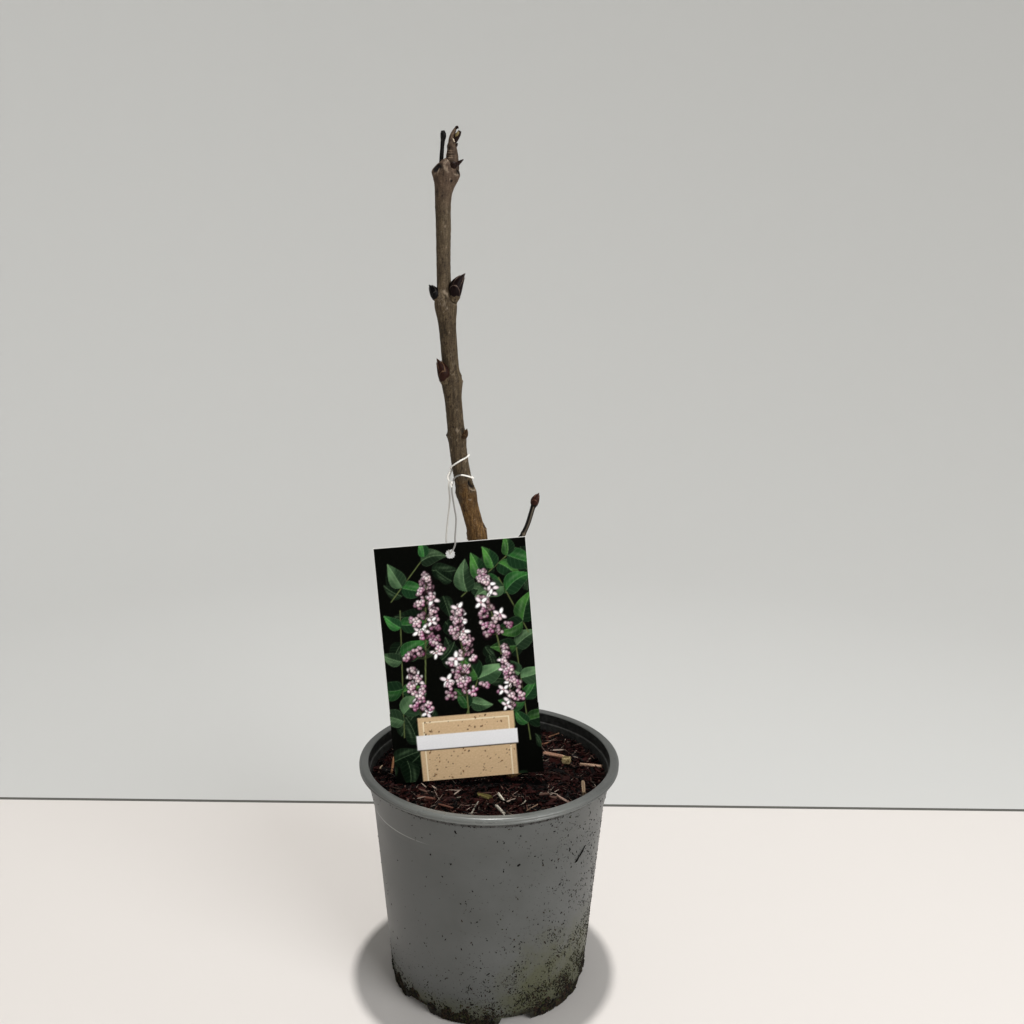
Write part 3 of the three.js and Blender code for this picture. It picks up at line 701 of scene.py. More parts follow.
stem = {  # mm and degrees; angles run from the right (0) over the back (90) and left (180) to the front (-90)
    "stations": [  # height, centre x and y, radius
        (146.9, 13.5, 1.5, 7.3), (200, 8.4, 4.2, 6.9), (255, 1.4, 6.6, 6.5), (285, -4.4, 8, 6.1),
        (305.3, -9.2, 8.8, 5.7), (329.4, -15.3, 8.8, 5.6), (351.5, -19.7, 8.8, 5.35),
        (384.7, -23.1, 8.8, 5.15), (414.8, -25.4, 8.8, 4.95), (440.9, -27.4, 8.8, 5.2),
        (456, -28.5, 8.8, 4.2), (488, -28.7, 8.8, 4.35), (503.2, -28.6, 8.8, 4.8), (512.3, -27.1, 8.8, 6.1),
        (519.3, -26.5, 8.8, 5.6), (522.8, -26.2, 8.8, 3.2)],
    "flare": 4.2, "flareHeight": 13, "lobes": 5, "lobeDepth": 1.3,
    "swellings": [  # where buds and leaf scars sit: height, angle, how far out, reach up, spread
        (307.3, -15, 1.2, 3.2, 38), (302.8, 180, 0.9, 3, 45), (331.9, -30, 1.7, 3.6, 34),
        (330.4, 185, 1.1, 3.4, 42), (365.6, -25, 1, 3.4, 38), (365.6, 180, 0.7, 2, 24),
        (399.7, 0, 1.6, 4.2, 42), (397.7, 205, 1.3, 4.4, 46), (443.4, -15, 1.7, 4.4, 45),
        (443.4, 180, 1.6, 4.8, 45), (516.8, 185, 2.1, 2.8, 32), (515.3, -10, 1.9, 3.2, 34)],
    "hollows": [  # height, angle, half width, half height, depth, tone of the floor, which is painted shade in the hollow
        (517.9, -147, 3.1, 2.3, 1.5, -1.6), (516.9, -14, 2, 2.3, 1.3, -1.6),
        (511.1, -52, 0.7, 0.8, 0.6, -1.6), (445.6, -28, 2.1, 1.7, 0.35, -0.3),
        (432.2, -27, 0.7, 0.5, 0.3, -0.9), (369, -27, 1.8, 2.1, 1.2, -0.5), (366.7, -24, 1.2, 0.6, 0.4, -0.7),
        (337.2, -47, 1.2, 2.1, 1.5, -1), (335.2, -33, 1.6, 1.2, 1.1, -0.9), (332.8, 183, 1.2, 1.8, 0.7, -0.9),
        (303, 178, 1.6, 1.3, 0.6, -0.9), (309.5, -12, 1.5, 1.4, 0.7, -0.9), (400.5, 4, 1.6, 1.2, 0.4, -0.5),
        (262, 60, 1.8, 1.3, 0.6, -0.8), (262, 240, 1.8, 1.3, 0.6, -0.8), (218, 150, 1.9, 1.3, 0.6, -0.8),
        (218, 330, 1.9, 1.3, 0.6, -0.8), (179, 70, 2, 1.4, 0.5, -0.8)],
    "lips": [  # pale rims that sag under a scar: height, angle, half width, how far the ends rise, tone
        (514.3, -33, 2, 1.3, 1), (443.2, -30, 2.3, 1, 0.6), (366.1, -36, 2.4, 1.1, 0.9),
        (333, -36, 2.9, 1, 1), (327, -72, 1.1, 0.9, 0.8), (401.5, 188, 2.6, -0.7, 0.8),
        (369, -78, 1.9, 1.8, 0.6), (402.8, -80, 1.9, 2, 0.6), (449.3, -76, 1.8, 0.6, 0.9),
        (301.2, 180, 2.2, 1, 0.6), (307.6, -14, 2.2, 1, 0.7), (398.4, 2, 2.4, 1, 0.6),
        (260.2, 60, 2.4, 1, 0.6), (260.2, 240, 2.4, 1, 0.6), (216.2, 150, 2.4, 1, 0.6),
        (216.2, 330, 2.4, 1, 0.6), (177.2, 70, 2.4, 1, 0.6)],
    "spots": [  # height, angle, size, how far out, tone
        (517, -136, 0.9, 0.6, 2.2), (520.2, -92, 2.4, 0.1, 0.25), (514.9, -150, 0.6, 0.2, 0.9),
        (511.8, -64, 0.4, 0.1, 0.7), (450.5, -87, 0.7, 0.1, 1), (449, -70, 0.6, 0.1, 0.9),
        (447.5, -108, 3.8, 0, 0.42), (431, -88, 5, 0, -0.2), (441, -78, 0.4, 0.15, 1),
        (427.2, -78, 0.5, 0.15, 0.9), (366, 180, 0.7, 0.6, -0.5), (519, -103, 0.7, 0.3, 0.4),
        (517.6, -95, 0.7, 0.3, 0.5), (516.6, -86, 0.8, 0.3, 0.5), (515.7, -77, 0.7, 0.3, 0.5),
        (370, -80, 0.7, 0.2, 0.8), (402, -172, 0.9, 0.2, 0.7)],
    "pores": (  # pale pores, then dark specks: how many, their sizes, how far out, their tones
        (300, (0.25, 0.42), 0.12, (0.2, 0.7)), (420, (0.25, 0.5), -0.06, (-0.9, -0.4))),
    "around": 104, "rings": 600, "seed": 12,
}


def stemMeasure(z, column):
    stations = [stem["stations"][0], *stem["stations"], stem["stations"][-1]]
    value = np.zeros_like(z)
    for before, low, high, after in zip(stations, stations[1:], stations[2:], stations[3:]):
        here = (z >= low[0]) & (z <= high[0])
        span = high[0] - low[0]
        leave = (high[column] - before[column]) / (high[0] - before[0]) * span
        arrive = (after[column] - low[column]) / (after[0] - low[0]) * span
        value[here] = glide((z[here] - low[0]) / span, low[column], leave, high[column], arrive)
    return value


def turnFrom(angle, degrees):
    return (angle - math.radians(degrees) + math.pi) % fullTurn - math.pi


def stemRadius(z, angle):
    rise = (z - stem["stations"][0][0]) / stem["flareHeight"]
    lobes = stem["lobeDepth"] * np.cos(stem["lobes"] * angle + 0.6)
    radius = stemMeasure(z, 3) + np.exp(-2.2 * rise**2) * (stem["flare"] + lobes)
    for height, middle, out, reach, spread in stem["swellings"]:
        up = np.where(z < height, reach * 1.7, reach)  # they build up slowly from below
        radius += out * bell(turnFrom(angle, middle) / math.radians(spread)) * bell((z - height) / up)
    return radius


# Cracks, cork pores, leaf scars and their rims: how far the bark stands out, and how dark or pale it is.
def barkRelief(z, angle, radius):
    skin = np.stack([*polar(radius, angle), z])
    crack = np.clip(1 - np.abs(noiseField(*skin, (1.5, 1.5, 13))) / 0.1, 0, 1)
    crack *= np.clip(noiseField(*(skin + 40), (4, 4, 9)) * 3 + 0.5, 0, 1)
    broad = noiseField(*(skin + 80), (3, 3, 24))
    mottle = noiseField(*(skin + 120), (1.7, 1.7, 2.6))
    fine = noiseField(*(skin + 160), (0.55, 0.55, 0.8))
    relief = 0.14 * broad + 0.1 * mottle - 0.1 * crack + 0.05 * fine
    # the 0.1 * cos(angle) term is painted light: the bark is paler on the right side of the stem and darker
    # on the left
    tone = 0.25 * broad + 0.3 * mottle - 0.35 * crack + 0.5 * fine + 0.1 * np.cos(angle)
    tone *= np.interp(z, (430, 475), (1, 0.65))  # the youngest wood is the smoothest

    def around(height, middle, reach):  # the points near a mark, and how far they are from its middle
        near = np.abs(z - height) < reach
        return near, turnFrom(angle[near], middle) * radius[near], z[near] - height

    dice = random.Random(stem["seed"])
    bottom, top = z.min(), z.max()
    marks = list(stem["spots"])
    for count, sizes, out, shades in stem["pores"]:
        for _ in range(count):
            marks.append((dice.uniform(bottom, top), dice.uniform(0, 360), dice.uniform(*sizes), out,
                          dice.uniform(*shades)))
    # each hollow's floor is painted dark: painted shade in the dent
    for height, middle, halfWidth, halfHeight, depth, shade in stem["hollows"]:
        near, sideways, rise = around(height, middle, 3 * halfHeight)
        away = (sideways / halfWidth)**2 + (rise / halfHeight)**2
        weight = np.exp(-away**1.6)
        ridge = bell((away - 1.9) / 0.7)
        relief[near] += 0.25 * ridge - depth * weight
        tone[near] = tone[near] * (1 - weight) + shade * weight + 0.12 * ridge
    for height, middle, size, out, shade in marks:
        near, sideways, rise = around(height, middle, 4 * size)
        weight = bell(sideways / size) * bell(rise / (1.5 * size))
        relief[near] += out * weight
        tone[near] += shade * weight
    for height, middle, halfWidth, bend, shade in stem["lips"]:
        near, sideways, rise = around(height, middle, 5)
        sideways /= halfWidth
        weight = bell((rise - bend * sideways**2) / 0.42) * np.clip(2.2 - 2 * np.abs(sideways), 0, 1)
        relief[near] += 0.28 * weight
        tone[near] = tone[near] * (1 - weight) + shade * weight
    return relief, np.clip(tone, -1, 1)


# Lilac bark, two or three years old: thin matt cork, grey to red-brown, split lengthways, with pale pores.
def lilacBark(name, high, low, dark, roughness=0.65, gleam=0.15):
    material, add, shader = startMaterial(name, high[1], roughness, Specular_IOR_Level=gleam)
    place = add("TexCoord").outputs["Object"]
    height = add("SeparateXYZ", place).outputs["Z"]
    tone = add("Attribute", attribute_name="tone").outputs["Fac"]
    drawn = add("Mapping", place, Scale=(1, 1, 0.13))
    streaks = add("TexNoise", drawn, 1 / (1.1 * mm), 6, 0.62)
    upper, lower = (add("ValToRGB", streaks, stops=zip((0.32, 0.52, 0.7), tones)) for tones in (high, low))
    # the lower wood is warmer, in patches
    patches = add("TexNoise", place, 1 / (11 * mm), 4, 0.6)
    warmth = add("MapRange", height, 370 * mm, 300 * mm, -0.35, 0.3)
    warm = add("MapRange", add("Math", patches, warmth, operation="ADD"), 0.42, 0.62, 0, 1)
    base = add("Mix", warm, upper, lower, data_type="RGBA")
    # the wood above the upper buds is lighter and greyer, and reddish at its end
    youth = add("MapRange", height, 432 * mm, 457 * mm, 1, 1.32)
    greyness = add("MapRange", youth, 1, 1.32, 1, 0.93)
    ruddy = add("MapRange", height, 492 * mm, 510 * mm, 0.5, 0.48)
    pores = add("TexNoise", place, 1 / (0.75 * mm), 2, 0.6)
    pitting = add("MapRange", pores, 0.32, 0.68, 0.68, 1.3)
    value = add("Math", youth, pitting, operation="MULTIPLY")
    young = add("HueSaturation", ruddy, greyness, value, Color=base)
    shaded = add("Mix", add("MapRange", tone, 0, -0.9, 0, 0.99), young, dark, data_type="RGBA")
    pale = add("Mix", add("MapRange", tone, 0.15, 1, 0, 0.62), shaded, "aa9a86", data_type="RGBA")
    feed(shader, Base_Color=pale, Normal=addRelief(add, drawn, 0.35, 4, 0.55, 0.25, 0.7))
    return material


def makeStem():
    bottom, top = stem["stations"][0][0], stem["stations"][-1][0]
    rings = stem["rings"]

    def place(u, v):
        row = np.rint(v * rings)
        z = bottom + (top - bottom) * np.clip((row - 1) / (rings - 2), 0, 1)
        angle = fullTurn * (u % 1)
        radius = stemRadius(z, angle)
        relief, tone = barkRelief(z, angle, radius)
        radius += relief * np.clip((z - bottom) / 3, 0.2, 1)
        radius[(row == 0) | (row == rings)] = 0
        x, y = polar(radius, angle)
        return np.stack([stemMeasure(z, 1) + x, stemMeasure(z, 2) + y, z], axis=1), {"tone": tone}

    settle(wrapGrid("stem_bark", stem["around"], rings, place, barkSkin), "bark", "main_stem")


barkSkin = lilacBark("lilac bark", ("342b1f", "483c2c", "5c4f3c"), ("38260f", "573f22", "7a5d33"), "080403")
makeStem()
print("stem has its bark")


buds = {  # mm: base, tip, width, depth, how far the middle bows, and the colours of scale and margin
    "bud_upper_right": ((-22.4, 5.7, 446.2), (-15.8, 5, 461), 7.4, 6.2, -1.9, "0f0505", "897468"),
    "bud_upper_left": ((-32.4, 7.8, 446), (-37.2, 7, 454.4), 5.6, 5, 0.6, "070606", "5b5752"),
    "bud_middle_left": ((-28.2, 4.4, 398.2), (-32.7, 2.6, 412.4), 6.6, 5, 1.2, "25110a", "8e6f54"),
    "bud_lower_right": ((-17.5, 4.8, 364.2), (-14.7, 3.8, 371), 3.4, 3, 0.3, "2f2013", "8a6e50"),
    "side_bud": ((26.2, 6.8, 323), (29.5, 6.8, 331.4), 4.9, 4.4, -0.5, "28130d", "8a6554"),
}
secondPoints = {  # a thinner point beside two of them: route and radii in mm, and how finely it is drawn
    "side_bud": (((26.4, 6.8, 324), (26.9, 6.8, 327.5), (27.5, 6.9, 330.3)), (1.5, 1.5, 1.1, 0.3), 14, 16),
    "bud_upper_left": (
        ((-34.6, 7.4, 449.5), (-35.4, 7, 452), (-35.3, 6.9, 454.2)), (1.6, 1.3, 0.9, 0.25), 14, 14),
}
budForm = {
    "fullness": (0.62, 0.86, 1, 0.98, 0.84, 0.62, 0.36, 0.08),  # share of the full width, from base to tip
    "pairs": (  # overlapping scales, two and two crosswise: start, end, angle, half span, stand-off
        (0.25, 0.99, 90, 84, 0.02), (0.1, 0.86, 0, 88, 0.12), (0.02, 0.5, 90, 90, 0.24)),
    "cushion": (-0.08, 0.13, 0.5),  # the bark that each bud sits in: start, end, stand-off
    "thickness": 0.16, "keel": 0.3,
}


deadWood = lilacBark("dead black wood", ("050404", "090807", "171412"), ("050404", "0a0807", "181411"),
                     "020202", 0.5, 0.1)


# Bud scales: leathery, tight and slightly waxy, paler and thinner along their margins.
def budScale(name, body, margin):
    material, add, shader = startMaterial(name, body, 0.42, Specular_IOR_Level=0.08)
    place = add("TexCoord").outputs["Object"]
    cloud = add("MapRange", add("TexNoise", place, 1 / (1.6 * mm), 5, 0.6), 0.45, 0.75, 0, 0.8)
    lighter = add("HueSaturation", Saturation=0.9, Value=1.7, Color=body)
    cloudy = add("Mix", cloud, body, lighter, data_type="RGBA")
    edge = add("MapRange", add("Attribute", attribute_name="tone").outputs["Fac"], 0.35, 1, 0, 0.85)
    feed(shader, Base_Color=add("Mix", edge, cloudy, margin, data_type="RGBA"),
         Normal=addRelief(add, place, 0.3, 3, 0.3, 0.12))
    return material


def budShape(base, tip, width, depth, bow):
    base, tip = np.array(base, float), np.array(tip, float)
    axis = (tip - base) / np.linalg.norm(tip - base)
    side = np.cross(axis, (0, -1, 0))
    side /= np.linalg.norm(side)
    towards = np.cross(side, axis)
    count = len(budForm["fullness"])
    curve = smoothRoute([(i / (count - 1), share) for i, share in enumerate(budForm["fullness"])], 80)

    def surface(t, angle, out):
        share = np.interp(t, curve[:, 0], curve[:, 1])
        centre = base + np.outer(t, tip - base) + np.outer(bow * np.sin(math.pi * np.clip(t, 0, 1)), side)
        sideways = (width / 2 * share + out) * np.cos(angle)
        frontways = (depth / 2 * share + out) * np.sin(angle)
        return centre + np.outer(sideways, side) + np.outer(frontways, towards)
    return surface


def makeScale(name, surface, start, end, middle, span, lift, size, material):
    def place(u, v):
        across = 2 * u - 1
        reach = math.radians(span) * (1 - v**1.9)**0.8
        angle = math.radians(middle) + across * reach
        keel = budForm["keel"] * size * (1 - np.abs(across))**1.5 * (0.4 + 0.6 * v) * (1 - 0.6 * v**4)
        out = lift * size + keel + 0.08 * size * v**6 - 0.1 * size * np.abs(across)**4
        edge = np.maximum(np.abs(across)**4, v**7)
        return surface(start + (end - start) * v, angle, out), {"tone": edge}

    scale = wrapGrid(name, 14, 18, place, material)
    shell = scale.modifiers.new("thickness", "SOLIDIFY")
    shell.thickness = budForm["thickness"] * size * mm
    shell.offset = -1
    applyModifiers(scale)
    return scale


def makeBud(name, base, tip, width, depth, bow, body, margin, cushion):
    material = budScale(name.replace("_", " ") + " scales", body, margin)
    surface = budShape(base, tip, width, depth, bow)
    size = width / 6.5

    def core(u, v):
        points = surface(np.clip(v * 1.06 - 0.04, -0.03, 1), fullTurn * (u % 1), -0.12 * size)
        ends = (v < 0.001) | (v > 0.999)
        points[ends] = np.where(v[ends, None] < 0.5, base, tip)
        return points, {"tone": 0 * u}

    def collar(u, v):
        low, high, lift = budForm["cushion"]
        angle = fullTurn * (u % 1)
        top = high + 0.05 * np.sin(2 * angle + 0.5) + 0.02 * np.sin(7 * angle)
        fold = np.where(v < 0.75, 0.25 + v, 3.4 - 3.2 * v)  # out, then over the lip and in again
        t = low + (top - low) * np.minimum(v / 0.8, 1)
        return surface(t, angle, lift * size * fold), {"tone": 0.8 * v**6}

    parts = [wrapGrid(name + "_core", 20, 24, core, material)]
    for start, end, middle, span, lift in budForm["pairs"]:
        for turn in (0, 180):
            parts.append(makeScale(name, surface, start, end, middle + turn, span, lift, size, material))
    parts.append(wrapGrid(name + "_cushion", 28, 12, collar, cushion))
    return parts, material


def makeBuds():
    for name, bud in buds.items():
        parts, material = makeBud(name, *bud, deadWood if name == "side_bud" else barkSkin)
        if name in secondPoints:
            parts.append(limbPiece("second_point", *secondPoints[name], material))
        settle(joinPieces(name + "_scales", parts), "bud_scales", name)


makeBuds()
print("buds have their scales")


tip = {  # the dead end of the stem: for each limb its route and radii in mm, and how finely it is drawn
    "stub": (
        ((-29.8, 8.8, 518.5), (-29.3, 8.8, 526), (-28.6, 8.8, 533), (-28.3, 8.8, 535.5), (-28.5, 8.8, 538.2)),
        (1.7, 1.4, 1.25, 1.2, 1.15, 1.15, 1.15, 1.15, 1.15, 1.15, 1.15, 1.2, 1.5, 1.65, 1.6, 1.0), 24, 60),
    "web": (
        ((-28.6, 8.7, 518), (-27.6, 8.5, 520.6), (-25.9, 8.4, 521.8), (-24, 8.4, 521)),
        (1.9, 2.1, 2.3, 2), 24, 20),
    "sprig": (
        ((-23.6, 8.5, 517.5), (-23.4, 8.3, 522), (-23.3, 8.2, 526.3), (-23.5, 8.2, 531.3), (-23, 8.3, 533.6)),
        (4.1, 4, 3.5, 3.05, 2.6, 1.7), 36, 60),
    "left": (
        ((-23.9, 8.3, 530.5), (-23.5, 8.4, 534.6), (-22.3, 8.5, 537.6), (-21, 8.6, 539.7),
         (-20.1, 8.5, 539.6)),
        (2, 1.75, 1.5, 1.25, 0.85, 0.4), 24, 40),
    "right": (
        ((-22.4, 8.2, 531.5), (-21.2, 8.1, 534), (-19.7, 8, 536.4), (-18.8, 8, 538)),
        (1.2, 1.5, 1.6, 1.4, 0.9), 24, 30),
    "inside": (((-21.4, 6.9, 534.8), (-20.5, 6.6, 536), (-19.5, 6.6, 537.4)), (0.3, 0.7, 0.8, 0.5), 16, 16),
    "hook": (((-21.2, 8.4, 539.7), (-20.4, 8.3, 540), (-19.9, 8.3, 539.2)), (0.9, 0.8, 0.3), 16, 12),
    "tear": (((-22.9, 6.6, 534), (-22.4, 6.3, 533), (-21.9, 6.4, 532)), (0.15, 0.4, 0.3), 10, 10),
    "spur": (((-21.9, 7.3, 529.4), (-20.9, 7.2, 530.4), (-20.2, 7.2, 531.5)), (1, 0.8, 0.3), 12, 12),
    "ball": (((-24.3, 5.9, 518.6), (-22.8, 5.2, 519.3), (-21.3, 5.6, 520.2), (-20.2, 6.4, 521)),
             (0.8, 1.9, 2.1, 1.5, 0.6), 24, 30),
    "thorn": (((-21.3, 6.6, 519.8), (-19.2, 6.4, 521.2), (-16.8, 6.4, 522.9)), (1.5, 1.1, 0.75, 0.2), 16, 24),
}


# Reliefs of the dead end: how far its skin stands out, and how dark or pale it is.
def weathered(t, angle, centre):
    ridges = np.sin(5 * angle + 3 * t) * 0.06 + noiseField(angle * 2, t * 9, t) * 0.12
    return ridges, ridges * 2


def creased(t, angle, centre):
    z = centre[:, 2]
    rings = np.sin((z + 0.5 * np.cos(angle)) * fullTurn / 1.25)
    creases = rings * bell((z - 525.4) / 2.2) * bell(turnFrom(angle, -35) / 0.8)
    rough = noiseField(*polar(2, angle), z / 2.5)
    return 0.2 * creases + 0.35 * rough, 0.9 * creases + 0.9 * rough - 0.2


def bleached(t, angle, centre):
    rough = noiseField(*polar(2, angle), t * 5)
    return 0.15 * rough, 0.12 + 0.6 * rough


def makeTip():
    husk = budScale("dark husk", "1b0f0b", "6b5853")
    pith = startMaterial("split pith", "6f5f36", 0.6)[0]
    fibre = startMaterial("torn fibre", "b8a891", 0.7)[0]
    settle(limbPiece("dead_stub_bark", *tip["stub"], deadWood, weathered), "dead_wood", "dead_stub")
    skins = {
        "web": (barkSkin, bleached), "sprig": (barkSkin, creased), "left": (barkSkin, weathered),
        "right": (husk, weathered), "inside": (pith, weathered), "hook": (husk,), "tear": (fibre,),
        "spur": (husk,), "ball": (husk, weathered), "thorn": (husk, weathered),
    }
    parts = [limbPiece(name, *tip[name], *skin) for name, skin in skins.items()]
    settle(joinPieces("tip_sprig_bark", parts), "bark", "tip_sprig")


makeTip()
print("dead tip is shaped")


sideShoot = {  # mm
    "route": [(-3.4, 8, 286), (3, 7.6, 290), (10.6, 7, 295.6), (16, 6.8, 299.8), (18.9, 6.8, 303),
              (20.9, 6.8, 306.8), (22.9, 6.8, 311.8), (26.1, 6.8, 323.4)],
    "radii": (2.3, 2.1, 1.95, 1.85, 1.8, 1.85, 1.8, 1.65, 1.6, 1.55, 1.5, 1.5, 1.5, 1.5, 1.6),
    "knee": 0.62, "ridges": 5,
}


# The side shoot died back: nearly black and dull, with a grey highlight painted along its front.
def makeSideShoot():
    skin = lilacBark("dead side shoot", ("060505", "0c0b0a", "1c1b19"), ("060505", "0d0b09", "1d1a17"),
                     "020202", 0.5, 0.12)

    def ridged(t, angle, centre):
        ridges = 0.07 * np.sin(sideShoot["ridges"] * angle + 6 * t)
        knee = 0.22 * bell((t - sideShoot["knee"]) / 0.018)
        # the last term is a painted highlight: a pale stripe along the front of the shoot
        return ridges + knee, ridges + 1.2 * knee + 0.5 * bell(turnFrom(angle, 12) / 0.4)

    shoot = limbPiece("side_shoot_bark", sideShoot["route"], sideShoot["radii"], 28, 130, skin, ridged)
    settle(shoot, "dead_wood", "side_shoot")


makeSideShoot()
print("side shoot is shaped")


labelInk = {  # sRGB colours of the print, and its counts; sizes in mm
    "cell": 0.44, "ground": "050604", "seed": 31, "dimLeaves": 46, "edge": "f2f2ef",
    "leafDark": ("16301a", "1c3d22", "283f29"), "leafLight": ("54993f", "3c8a3a", "739c6c"), "vein": "a9c796",
    "stalk": "56613a", "buds": ("b3598a", "cf8cab", "e0a9bd", "f0cdd2", "9c4c72"), "budTop": "f6e2e0",
    "headShade": "1d0d14", "petals": ("fffdfd", "f3e4e9"), "starHeart": "b98a92",
    "branches": (  # leafy twigs: start, end, pairs of leaves, leaf length
        ((8, 30), (13, 112), 4, 19), ((88, 22), (83, 90), 4, 18), ((52, 118), (88, 146), 4, 18),
        ((92, 92), (76, 128), 2, 20), ((48, 40), (60, 70), 2, 18), ((8, 118), (34, 148), 2, 16)),
    "heads": (  # cone-shaped flower heads: foot, top, width, groups of buds
        ((72, 92), (66, 134), 20, 26), ((26, 80), (31, 134), 24, 40), ((50, 54), (49, 112), 27, 44),
        ((78, 44), (76, 84), 19, 26), ((20, 44), (17, 74), 16, 20)),
    "panel": (17.2, 0, 78.5, 42), "panelColour": "ccaf8a", "line": "efe3c4", "lineInset": 3.4, "specks": 130,
    "strip": (15.5, 20.7, 80, 30.3), "stripColour": "ebebed",
    "edgeFoot": 46,  # the card's cut edge shows above this height
}


def cardAxes():
    yaw, lean, skew = (math.radians(card[key]) for key in ("yaw", "lean", "skew"))
    along = np.array((*polar(1, yaw), 0))
    back = np.array((-along[1], along[0], 0))
    rise = np.array((0, 0, 1)) * math.cos(lean) + back * math.sin(lean)
    right = along * math.cos(skew) + rise * math.sin(skew)
    up = rise * math.cos(skew) - along * math.sin(skew)
    corner = np.array((*card["corner"], compostHeight(*card["corner"]) + 0.3))
    return corner, right, up, np.cross(right, up)


def onCard(x, y, out):
    corner, right, up, front = cardAxes()
    return corner + np.outer(x, right) + np.outer(y, up) + np.outer(out, front)


# The print is painted on the card's own fine grid: each dab is blended into the points that it covers.
class Sheet:
    def __init__(self, x, y, ground):
        self.x, self.y = x, y
        self.ink = np.tile(screenColour(ground), (len(x), 1))

    def near(self, x, y, reach):  # the points near a spot, and how far they are from it
        where = np.nonzero((np.abs(self.x - x) < reach) & (np.abs(self.y - y) < reach))[0]
        return where, self.x[where] - x, self.y[where] - y

    def blend(self, where, share, colour):
        share = np.clip(share, 0, 1)[:, None]
        self.ink[where] = self.ink[where] * (1 - share) + np.clip(colour, 0, 1) * share


# The same offset, measured along a direction and across it.
def turned(x, y, turn):
    return x * math.cos(turn) + y * math.sin(turn), y * math.cos(turn) - x * math.sin(turn)


def paintBox(sheet, box, colour, share=1):
    x0, y0, x1, y1 = box
    inside = np.minimum(np.minimum(sheet.x - x0, x1 - sheet.x), np.minimum(sheet.y - y0, y1 - sheet.y))
    sheet.blend(slice(None), share * np.clip(inside / labelInk["cell"] + 0.5, 0, 1), colour)


# A rounded bud or petal, lit from above on its left.
def paintDab(sheet, x, y, length, width, turn, colour, glow=0.5, soft=0.35):
    where, dx, dy = sheet.near(x, y, max(length, width) + 1)
    a, b = turned(dx, dy, turn)
    away = np.sqrt((a / length)**2 + (b / width)**2)
    light = np.clip(1 - np.hypot(dx + 0.3 * width, dy - 0.35 * width) / (1.1 * width), 0, 1)[:, None]
    shade = np.clip((away - 0.55) * 1.3, 0, 0.6)[:, None]
    sheet.blend(where, (1 - away) * width / soft + 0.5, colour * (1 - shade) + (1 - colour) * light * glow)


# A leaf with its shadow, its ribs, a gloss beside the middle one, and a pale rim.
def paintLeaf(sheet, x, y, length, turn, dark, light, bend=0.0, share=1):
    where, dx, dy = sheet.near(x, y, 1.3 * length)
    a, b = turned(dx / length, dy / length, turn)
    b -= bend * a * (1 - a)
    aside = np.abs(b)
    inside = np.clip(a, 0, 1)
    half = 0.34 * np.sin(math.pi * inside**0.62)**0.85 * (1 - 0.25 * inside)
    shadow = np.clip((half + 0.07 - np.abs(b - 0.03)) / 0.14, 0, 1) * ((a > -0.05) & (a < 1.06))
    sheet.blend(where, 0.6 * shadow * share, np.zeros(3))
    cover = np.where((a > 0) & (a < 1), (half - aside) * length / 0.35 + 0.5, 0)
    ribs = np.clip(1 - np.abs(((a - 0.55 * aside) * 7) % 1 - 0.5) / 0.14, 0, 1) * 0.16
    middle = np.clip(1 - aside * length / 0.38, 0, 1) * 0.6
    ripple = 0.12 * np.sin(11 * a + 5 * b) + 0.1 * np.sin(23 * b + 4 * a)
    tone = np.clip(0.42 + 0.3 * np.sign(b) + 0.6 * (a - 0.45) - 0.9 * aside + ripple, 0, 1)[:, None]
    gloss = (bell((b - 0.13) / 0.05) * bell((a - 0.45) / 0.25))[:, None] * 0.25
    rim = np.clip(1 - (half - aside) * length / 0.5, 0, 1)[:, None] * 0.25
    vein = screenColour(labelInk["vein"])
    mark = np.clip(np.clip(ribs + middle, 0, 1)[:, None] * 0.6 + gloss, 0, 1)
    colour = (dark * (1 - tone) + light * tone) * (1 - mark) + vein * mark
    sheet.blend(where, cover * share, colour * (1 - rim) + vein * rim)


def paintLine(sheet, start, end, width, colour, share=1):
    x, y = np.subtract(end, start)
    length = math.hypot(x, y)
    where, dx, dy = sheet.near(*start, length + width + 1)
    along = np.clip((dx * x + dy * y) / length**2, 0, 1)
    away = np.hypot(dx - along * x, dy - along * y)
    sheet.blend(where, share * ((width / 2 - away) / 0.35 + 0.5), colour)


def paintStar(sheet, x, y, size, turn, dice):
    petals = [screenColour(tone) for tone in labelInk["petals"]]
    for k in range(4):
        angle = turn + math.pi / 2 * k + dice.uniform(-0.15, 0.15)
        right, up = polar(0.5 * size, angle)
        paintDab(sheet, x + right, y + up, 0.52 * size, 0.27 * size, angle, petals[k % 2], 0.3)
    paintDab(sheet, x, y, 0.16 * size, 0.16 * size, 0, screenColour(labelInk["starHeart"]), 0.1)


